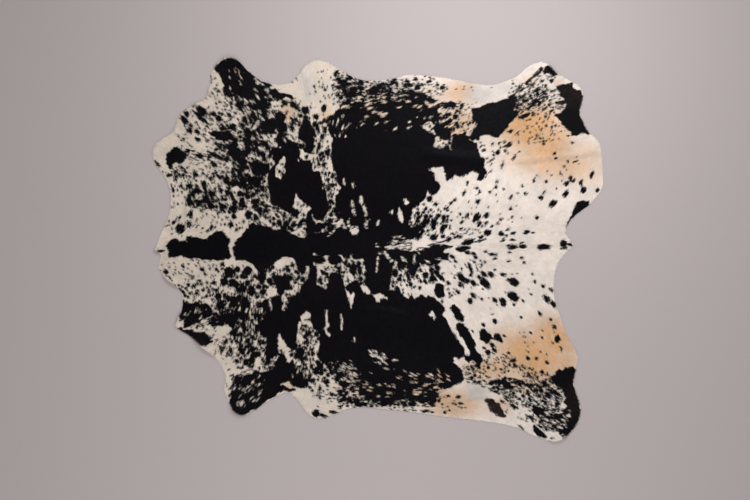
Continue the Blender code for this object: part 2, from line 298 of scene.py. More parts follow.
# The dark patches, by points of their outlines.
DARK = {
    "brown bar": (
        (73.8, 83.6), (80.4, 90.2), (82, 90.4), (81.6, 88.8), (74.8, 82.8),
    ),
    "brown oval": (
        (54.2, -75), (55.6, -74.4), (58.4, -75.8), (63.8, -82), (63.6, -84.2), (62.2, -84.6), (57.4, -82),
        (53.8, -76.6),
    ),
    "left hind tip": (
        (76.8, -88.4), (78.6, -88), (84.2, -93.6), (83.2, -94.6), (80, -93.6), (77.4, -91.2),
    ),
    "neck bar": (
        (-106.6, 0), (-106.3, 1.6), (-103, 5), (-100, 5.4), (-98.5, 4), (-96.2, 4.2), (-94.5, 5.6),
        (-85, 5.5), (-81.5, 8), (-79, 8.8), (-75.3, 7), (-74.2, 5), (-74.2, 1), (-71, 0), (-71, -3.5),
        (-73.5, -4.5), (-82, -5.6), (-94, -4.8), (-97.7, -2.8), (-103, -4.4), (-105, -3.3),
    ),
    "withers oval": (
        (-72.5, -1), (-71.5, 3), (-65, 11.2), (-62.5, 12.8), (-51, 10), (-46, 9.8), (-43.5, 8),
        (-37, 6.2), (-33, 9), (-28, 8), (-12, 12), (0, 12), (0, -2.5), (-30, -3), (-34, -6), (-36.5, -12),
        (-40.5, -10), (-41.8, -5), (-45, -4.6), (-49, -5.3), (-58, -11.3), (-60.5, -10.6), (-65, -6.5),
        (-71.5, -5),
    ),
    "right flank": (
        (-24.3, 57.5), (-24.4, 62), (-20.5, 70), (-16, 70.8), (-13, 74), (-10, 75.5), (-7, 72.8),
        (-3.5, 73.5), (-1, 76.5), (3, 79), (8, 77.5), (16, 79.5), (21, 77.5), (24.5, 77), (33, 73.5),
        (37, 74), (39.5, 71.5), (45, 70.4), (50, 70.5), (52.7, 72.2), (64, 75), (66.5, 77), (68.8, 77.5),
        (69.3, 73), (68.4, 69.8), (70, 68.6), (69.9, 66.8), (60.7, 57.2), (58, 56), (53.8, 57),
        (49.5, 54.6), (49.5, 52.3), (51.2, 48), (50.5, 45.7), (52.4, 45.4), (53.2, 43.5), (53, 40.5),
        (53.8, 38.5), (53.4, 36), (51.8, 34.7), (49.7, 34.8), (49.8, 37), (48.5, 38.2), (46.3, 38.4),
        (44.2, 36.8), (40.3, 36), (39, 37.2), (36, 34), (34.2, 34.4), (33, 38.5), (31.5, 40.6),
        (29, 40.4), (28.8, 35.5), (30.6, 33), (31, 31), (27.8, 27), (26, 27.4), (24.6, 29), (24, 24.5),
        (20, 20.8), (17.6, 20.2), (16, 12), (17, 10.4), (19, 11.8), (21.5, 12), (23.5, 11), (21, 8.5),
        (20.5, 6.5), (17, 4.4), (17, 0), (10, -2), (4, -2), (-5, 0), (-8, 8), (-13, 11), (-19, 11.5),
        (-20.2, 14), (-19.8, 18), (-21.7, 25), (-18.8, 30), (-22.6, 41), (-23.6, 46.5), (-22.4, 54),
    ),
    "shoulder": (
        (-55.4, 36.3), (-53.4, 40.5), (-51.5, 42.5), (-54.4, 48.3), (-52.4, 51.5), (-50.6, 57),
        (-48, 58.2), (-42.5, 53.3), (-40.7, 53), (-39.5, 51), (-39, 46.3), (-36, 44.1), (-33.8, 43.8),
        (-31.8, 38.7), (-30, 39.2), (-28.4, 37.6), (-27, 33), (-27.6, 30.4), (-26.3, 29.3), (-24.3, 21),
        (-25, 18.5), (-26.3, 17.3), (-26.1, 15), (-27, 13.6), (-29.2, 14.2), (-31.2, 13.4), (-31.8, 9),
        (-36, 8), (-36.6, 15.5), (-39.6, 16.2), (-42, 15.6), (-46, 18.8), (-48.4, 19), (-52, 22),
        (-53.6, 24.6), (-55.8, 33.5),
    ),
    "right cheek": (
        (-105.3, 47.5), (-100.3, 50.7), (-96.3, 48.3), (-95.5, 46.8), (-95.8, 45), (-97.2, 43.5),
        (-99.2, 42.9), (-100.7, 43.6), (-102.3, 40.6), (-103.6, 40), (-104.7, 41.2),
    ),
    "right fore leg": (
        (-81.9, 90.1), (-80.4, 92.3), (-75, 95.4), (-71.6, 95.2), (-69, 93.6), (-60.4, 85.4),
        (-52.6, 82.2), (-54, 80.9), (-56.4, 80.6), (-54.6, 77.4), (-56.4, 76.2), (-57, 74), (-55.6, 72.7),
        (-56.8, 70.8), (-53.6, 63.6), (-60.2, 65.4), (-61.4, 63.2), (-65, 70.4), (-67, 71.4),
        (-68.2, 69.6), (-70, 70), (-70.6, 73.4), (-71.8, 75), (-73.6, 74.6), (-77, 79), (-76.9, 82),
        (-78.4, 84.4), (-78.8, 87.4), (-80.2, 89.4),
    ),
    "elbow band": (
        (-54, 79), (-51, 79.8), (-46.5, 77.3), (-43.5, 77.2), (-42, 75.5), (-42.2, 74), (-46, 75.3),
        (-48, 74.2), (-50, 74.3), (-53.2, 76.4), (-53, 77.8),
    ),
    "shoulder cloud a": (
        (-84.2, 57.8), (-82.5, 58.8), (-79, 59), (-72, 57.3), (-70.3, 55), (-70, 52), (-71.5, 50),
        (-74.5, 49.6), (-77.5, 50.4), (-80, 52.2), (-78, 54),
    ),
    "shoulder cloud b": (
        (-76, 48.8), (-73, 49.8), (-66, 49.2), (-65.4, 47), (-66.6, 45), (-65.6, 42.6), (-67.8, 37),
        (-67.4, 33.4), (-68.2, 30.4), (-70.4, 31.6), (-72.4, 30.6), (-77.4, 33.4), (-77.4, 36),
        (-74.8, 37.8), (-72.6, 43.6), (-75, 45.8),
    ),
    "shoulder cloud c": (
        (-65.2, 42.8), (-62.4, 44.2), (-59.6, 44.4), (-54.4, 41.8), (-54.6, 38.8), (-56.4, 36.8),
        (-58.4, 36.6), (-63, 39.4),
    ),
    "shoulder round": (
        (-59.4, 62), (-58, 64), (-55, 65.2), (-49.8, 65), (-47, 63.8), (-45.4, 61.5), (-45.8, 59.4),
        (-47.6, 57.8), (-54, 57.2), (-56.4, 57.8), (-58.4, 59.6),
    ),
    "elbow round": (
        (-40, 60), (-38.4, 61), (-38.6, 64.6), (-36.5, 65.1), (-34.6, 64), (-33.8, 61), (-32.4, 60.8),
        (-31.2, 59), (-31.4, 56.6), (-33, 54.6), (-36, 53.4), (-38.6, 53.8), (-40, 55.4),
    ),
    "elbow low": (
        (-36.9, 50.4), (-36.5, 53), (-34.9, 54.2), (-32.9, 54), (-31.9, 52), (-32.9, 47.9), (-34.3, 46.9),
        (-35.7, 47.9),
    ),
    "rump edge right": (
        (98.8, 22.4), (102.5, 23.6), (106, 22.8), (94.6, 11.8), (93.9, 12.2),
    ),
    "right hind leg": (
        (89.2, 80), (90, 81.8), (96, 83.2), (97.2, 82.2), (97.4, 80.6), (101.4, 79.6), (102.4, 76),
        (100.9, 70), (102.6, 62.5), (106.4, 56.9), (101.5, 57.5), (97.5, 57), (89, 66), (90, 68),
        (93.6, 71.5), (93.6, 73.2), (91.8, 72.4), (90.4, 73.4), (92.6, 74.8), (91, 78.2),
    ),
    "right hind tip": (
        (82.3, 88), (85.4, 91.6), (87.6, 89.8), (90, 86.8),
    ),
    "left flank": (
        (-60.5, -27), (-59, -25.8), (-56.5, -25.8), (-49.5, -23.4), (-47, -27.6), (-45.2, -27),
        (-44.8, -24.6), (-40, -21), (-36.4, -15.6), (-36.8, -10), (-36, -4), (-31, -4), (-30, -16),
        (-28.8, -18.4), (-27, -19.4), (-25, -19), (-23.6, -12.6), (-22, -11.4), (-18, -13.6),
        (-16.6, -19), (-15.6, -17.6), (-13, -16.4), (-10, -16.4), (-7.8, -20.6), (-5.8, -22.2),
        (-3.2, -21.8), (-7, -17), (-6.4, -10), (-7, -3), (5, -3), (7.4, -9), (6.3, -20.3), (9, -18.4),
        (10.5, -19.4), (13, -23.8), (15.5, -24), (17, -23), (19.4, -24.2), (21.5, -22.6), (23.5, -23.6),
        (25, -22.6), (27.6, -23.8), (32.4, -28), (33.4, -30.4), (33.2, -34), (43.2, -51), (42.8, -53.6),
        (40.6, -55.4), (38.6, -54.4), (38.2, -57), (41.2, -61), (42.6, -65.8), (34, -70), (30, -70.6),
        (25.4, -76.4), (21, -77), (16, -75), (4, -76.2), (-7.5, -73.6), (-10, -71), (-9.6, -66),
        (-10.4, -61), (-14, -59), (-23, -57), (-26.5, -57.2), (-29.6, -55.4), (-30.6, -52), (-29.9, -43),
        (-38, -36), (-40, -41), (-41, -49.4), (-45, -48.6), (-47.6, -43.8), (-50, -42.6), (-49.6, -50),
        (-53.4, -56), (-55.8, -58.2), (-57.2, -57), (-56, -46), (-58.6, -43.6), (-59.8, -40), (-61, -30),
    ),
    "left elbow lumps": (
        (-41.2, -60.4), (-36, -58.5), (-34.9, -60), (-37.4, -64), (-35, -65.6), (-34.7, -67.6),
        (-36, -69), (-38.5, -69.6), (-41.5, -69.2), (-43.4, -67.6), (-43.6, -65),
    ),
    "left elbow top": (
        (-33, -59.4), (-32, -57), (-30, -55.6), (-27.8, -57.8), (-28.4, -60.4), (-30, -62.2), (-32, -62),
    ),
    "left fore leg": (
        (-71, -67), (-69, -65.4), (-68, -63.4), (-66, -62), (-63.5, -62.5), (-62.5, -60.5), (-60, -60.5),
        (-58, -61.5), (-53.4, -59.6), (-48.6, -52.6), (-47, -52.2), (-45, -56), (-42, -55.4),
        (-41.4, -60.5), (-43.6, -64), (-43.4, -66), (-45.4, -66), (-48.4, -67.6), (-45, -68.2),
        (-42.6, -69.8), (-42.4, -71.4), (-48, -71), (-61, -80), (-68, -83), (-71.2, -81.4),
        (-73.4, -78.6), (-74.2, -75), (-73.6, -72),
    ),
    "left cheek": (
        (-97.2, -25.2), (-94, -28.4), (-91.5, -26), (-89.5, -27.6), (-87, -27), (-84.5, -27.5),
        (-83, -29), (-82.8, -31.5), (-84, -33), (-96, -39.4), (-97.3, -38), (-97.2, -35.6), (-96, -33.8),
        (-99.4, -36.4),
    ),
    "left cheek band": (
        (-85, -36), (-78, -34), (-76.5, -31.6), (-71, -32), (-69.4, -34), (-72, -38.6), (-74.6, -38),
        (-76.6, -35.6), (-79, -36), (-80.5, -38.4), (-83.4, -38.4),
    ),
    "left cheek edge": (
        (-100.6, -38.8), (-97, -40), (-92.4, -40.2), (-92.2, -41.2), (-89.5, -41.2), (-85, -43),
        (-83, -45.8), (-87.5, -48.4), (-99.6, -40.8),
    ),
    "left neck lump": (
        (-51.6, -13.6), (-49.5, -12.6), (-47, -13), (-44.6, -11), (-43.6, -13), (-44.2, -16),
        (-43.4, -18.6), (-41.6, -19.2), (-45, -21.5), (-46.5, -21), (-48.6, -24), (-50.5, -22),
        (-51, -19), (-52.5, -17),
    ),
    "left shoulder a": (
        (-68.6, -27), (-66.5, -24.4), (-64.6, -26), (-61.8, -30.6), (-62.6, -33), (-64.4, -35),
        (-64.4, -39), (-66, -43), (-68, -41.4), (-69.2, -33),
    ),
    "dark blob a": (
        (30, -17), (32, -18), (33.4, -20), (33.9, -22.5), (33, -24.6), (31.4, -24.9), (29, -23.6),
        (27.7, -21.4), (28.3, -19),
    ),
    "dark blob b": (
        (36.5, -29.2), (38.3, -28), (40, -28.8), (42.8, -35), (41.6, -36.4), (39.4, -35.6), (37.3, -32.8),
    ),
    "dark blob c": (
        (39.4, -37), (42, -36.8), (44.5, -38.4), (49, -47.4), (48.8, -50.6), (52, -53.4), (51.4, -57.6),
        (50, -58.8), (47, -56), (45.4, -57.4), (43.6, -56), (43, -54), (44.4, -52.4), (46.4, -52),
        (40, -42), (39, -39),
    ),
    "dark blob d": (
        (50.5, -42.4), (51.5, -40.3), (53.5, -40.2), (57.2, -44), (58.4, -42.2), (60.6, -42.8),
        (62.2, -45.2), (61.8, -46.8), (57.2, -45.2), (55.8, -46.8), (53.6, -47), (51.5, -45.5),
    ),
    "saddle grey": (
        (28, 2.4), (36, 1.8), (37, 0.8), (33.4, 0), (32.4, -1), (36.2, -3), (35, -4), (35.4, -6),
        (33.4, -5.4), (29.5, -7.4), (24.6, -8), (22.6, -7.4), (18.2, -13), (16.4, -12), (15.8, -9.6),
        (14, -9), (10, -10), (8, -6), (4, -3), (10, -1), (16, -1),
    ),
    "left hind leg": (
        (86.4, -63.6), (94, -59.2), (99.4, -59.3), (97.8, -66), (100.7, -76.5), (100.8, -84),
        (99.6, -87.3), (95.5, -92.2), (93.5, -93.3), (90.4, -92), (91, -90), (90, -88), (95, -84.5),
        (96, -83), (93, -83), (91.5, -81.5), (92, -79.6), (94.8, -79), (93, -77.5), (93.5, -75),
        (91.5, -70.5), (88, -67.6),
    ),
    "left hind cloud": (
        (77.4, -77.6), (79.5, -78), (81.5, -80), (86, -80.6), (87.6, -82.4), (86.4, -84.4), (90, -88),
        (88, -89.6), (82, -86.4), (77, -79.4),
    ),
    "left hind band": (
        (57, -67), (62, -64.4), (64.5, -64.5), (66, -66.2), (75, -66.8), (77.8, -68), (76.5, -69.4),
        (73, -69), (67.5, -70.3),
    ),
}

# The pale windows in the dark patches.
PALE = {
    "shoulder slit": (
        (-47.1, 46.4), (-45.9, 44.5), (-47.8, 37), (-49.6, 34.5), (-51.1, 37), (-49.3, 43.3),
    ),
    "belly arc blotch": (
        (22.4, 61), (23, 62.8), (26.8, 62.8), (28.2, 61.4), (27, 60.4), (28.4, 58.4), (27.8, 57),
    ),
    "belly cream low": (
        (27.6, 51), (28.6, 53), (28.6, 55.8), (35, 54.8), (38, 60.4), (34.6, 60.2), (34, 61), (36.6, 62),
        (37.6, 63.6), (35.8, 65.6), (33, 63), (31, 62.6), (30.8, 64.4), (32.6, 65.6), (30.2, 69.4),
        (31, 71.4), (33.4, 70.6), (35.6, 71.2), (38.6, 70.8), (39.4, 72.8), (45.6, 70.8), (46.8, 64.6),
        (48.7, 61.8), (46.2, 57.4), (44.6, 57.4), (44.4, 59.2), (42.6, 58.8), (41.6, 57.4), (38.4, 56.8),
        (37, 54.6), (36.4, 51), (35.6, 50.6), (35, 52.2), (31, 50.2),
    ),
    "flank notch": (
        (45.6, 55.2), (46.2, 54.2), (49.6, 54.6), (48.8, 53.4), (46.8, 53.4),
    ),
    "flank window": (
        (25.6, 39.8), (32, 40.6), (33.1, 38), (32.2, 35.6), (30.2, 34), (28.8, 35), (28.2, 37.4),
    ),
    "shoulder window": (
        (-41.2, 27), (-39.8, 25), (-34.8, 21.3), (-34, 19.5), (-36.3, 16), (-36, 10.8), (-37.4, 6.4),
        (-39.5, 6.6), (-44, 9.9), (-43, 11.5), (-41.4, 12), (-40.5, 13.5), (-40.8, 15.6), (-39.6, 16.8),
        (-39.8, 19), (-42.5, 21),
    ),
    "withers window": (
        (-32.6, 16.6), (-30.4, 10.4), (-28.8, 8.9), (-27.2, 10), (-27.8, 12.4), (-27, 13.8),
        (-29.4, 13.6), (-31, 14.4),
    ),
    "side channel low": (
        (-26, 18), (-23.4, 13.6), (-21.6, 15), (-20.2, 13.4), (-18.6, 14.6), (-18, 12.6), (-24.6, 6.8),
        (-26.4, 8.4),
    ),
    "star": (
        (-14.2, 10), (-11.6, 12), (-9.2, 9.8), (-11, 6.8),
    ),
    "left island a": (
        (-20, -8), (-18.2, -3.4), (-15, -8), (-13.6, -7.2), (-12.8, -4), (-12, -7), (-11, -7),
        (-10.6, -5), (-7.7, -4.2), (-6.2, -11), (-7.8, -16), (-7, -18), (-5, -19), (-4.6, -21.4),
        (-6, -22), (-8, -20.5), (-9.5, -16.5), (-12, -16), (-15.2, -17.6), (-16.6, -17), (-18.5, -13),
        (-22.4, -11), (-21.6, -9),
    ),
    "left island b": (
        (-16.8, -19.4), (-14.8, -24), (-13.9, -29.4), (-11.9, -23.4), (-12.4, -21.6), (-13.3, -21.3),
        (-14.2, -22.5),
    ),
    "left island c": (
        (-3, -22), (-1, -23), (1.6, -21.6), (3, -24), (4.2, -23.6), (4.6, -25.4), (2.3, -24.3),
        (0, -26.7), (-1.2, -26),
    ),
    "left island d": (
        (6, -5.5), (8, -5.4), (9.5, -6.5), (9.8, -8.5), (13, -11), (15, -10.8), (17, -14.4), (18.5, -14),
        (21, -8.5), (23.6, -8), (25.2, -8.6), (25.6, -11.6), (27.6, -12.4), (28.4, -8.6), (30, -7.2),
        (33, -6.4), (36, -8.6), (34, -12), (33.2, -16.4), (29, -18), (27.8, -20.4), (27.9, -23.6),
        (24.5, -22.4), (23.5, -23.6), (22, -22), (19.5, -24.1), (18, -23), (16.5, -23), (15.5, -24),
        (13.5, -23.9), (10.5, -19), (9, -18.3), (7.5, -19), (6.5, -20.6), (6, -19), (7.4, -9),
    ),
    "left window": (
        (26, -33), (28, -31), (28.9, -35.4), (27.6, -34),
    ),
    "left shoulder island a": (
        (-37.6, -33), (-35, -31.7), (-33.5, -33.5), (-32.4, -39.5), (-33.5, -40), (-34.5, -38),
        (-36.5, -40), (-38.2, -35.5),
    ),
    "left shoulder island b": (
        (-39.6, -43), (-37, -39.3), (-35.5, -43), (-34, -44.2), (-31.5, -41.4), (-29.6, -45),
        (-30.2, -47.5), (-34.5, -48), (-36, -49), (-40, -48.6), (-43, -51.2), (-43.4, -50.2),
        (-41.2, -49),
    ),
    "left shoulder island c": (
        (-39.5, -55.8), (-37.5, -55.8), (-36.5, -56.8), (-35, -55), (-34.8, -53), (-31.5, -51.8),
        (-30.8, -54), (-31.8, -56), (-31, -58), (-32, -59), (-33, -57.8), (-34, -59.2), (-35.5, -58.2),
        (-39, -58.8), (-40.4, -61), (-41.2, -59),
    ),
    "white drop a": (
        (5.6, 18.2), (7, 18), (7.6, 17), (8, 18.2), (7.2, 19.2),
    ),
    "white drop b": (
        (12.8, 23), (13.6, 25.8), (14.6, 23.6), (13.8, 22.2),
    ),
    "white drop c": (
        (10.2, 15), (10.4, 18.6), (11.4, 20.4), (13, 14.4), (12.4, 12.8),
    ),
    "flank pale a": (
        (16.6, 12), (18.6, 20.4), (20.4, 20), (19.4, 13.4), (18.4, 12),
    ),
}

# Pale streaks that part the dark.
STREAKS = {
    "neck gap": Streak(1, ((-71.5, 8.5), (-73, 4.5), (-73.6, 1.5), (-73.2, -1.5), (-72.8, -5))),
    "fore leg c": Streak(0.7, ((-61.5, 85), (-57.5, 80.3), (-54.5, 79.2))),
    "fore leg d": Streak(0.5, ((-67.2, 72), (-64, 68.5), (-62.5, 65), (-61.5, 61.5))),
    "belly arc": Streak(0.8, ((24, 73.5), (25.5, 71.5), (28, 72), (31, 74))),
    "front a": Streak(0.9, ((-13, 24), (-12.3, 19), (-11.8, 17))),
    "front b": Streak(1, ((-8.3, 25.5), (-8, 23), (-6.5, 20.5), (-6, 17), (-5, 15.5), (-6, 13), (-5.8, 11))),
    "front c": Streak(0.6, ((-17, 34.5), (-16.8, 32.5))),
    "front d": Streak(0.6, ((-12.6, 32.5), (-12.3, 30.5))),
    "front e": Streak(0.7, ((0.3, 14), (-0.2, 12.5))),
    "front f": Streak(1, ((-18.4, 14), (-17.6, 12))),
    "front g": Streak(0.6, ((-14.7, 15), (-14.5, 11.5))),
    "spine a": Streak(0.45, ((4, 1), (8, 0.8), (10, 1.7))),
    "spine b": Streak(0.45, ((11, 0.5), (15, 0.4), (18, 0), (20.5, -2))),
    "spine c": Streak(0.5, ((17, 2), (19, 0.8), (24, 2.2), (27, 2.6), (30, 2.9))),
    "spine d": Streak(0.7, ((17.5, 3.8), (20, 3.5))),
    "spine e": Streak(0.5, ((3.3, -1.2), (4, -3), (5.5, -4.5))),
    "spine f": Streak(0.7, ((12, -4), (13, -5.5), (14, -7.3))),
    "spine g": Streak(0.7, ((18.2, -3.5), (18, -6.5))),
    "spine h": Streak(0.5, ((7.5, 5.8), (11, 6.3))),
    "side a": Streak(0.4, ((0, -4), (-0.5, -6.5), (-0.8, -11.5))),
    "web a": Streak(0.9, ((-35, -9), (-36, -14), (-39, -18), (-41, -20.5), (-44, -22.5), (-46.8, -25))),
    "web b": Streak(0.8, ((-46.8, -25), (-46.5, -27.5), (-47, -30))),
    "web e": Streak(0.5, ((-54.4, -24), (-53.8, -27), (-53.2, -30))),
    "web c": Streak(1.2, ((-43.5, -12), (-42.5, -15.5), (-42, -18.5))),
    "web d": Streak(0.5, ((-32, -2.5), (-31.8, -8))),
    "left a": Streak(0.45, ((-4.3, -50.5), (-3, -52.8), (-0.5, -53.5), (1.5, -55), (4, -57.8))),
    "left b": Streak(0.5, ((7.5, -55.5), (9.5, -55.5))),
    "left i": Streak(0.45, ((-18.5, -33), (-18, -36.5), (-18.2, -40))),
    "left j": Streak(0.6, ((-11.9, -44.4), (-11.7, -45.6))),
    "left k": Streak(0.8, ((-25.8, -31), (-25.7, -36), (-25, -38.5), (-26.5, -40), (-24.5, -43))),
}

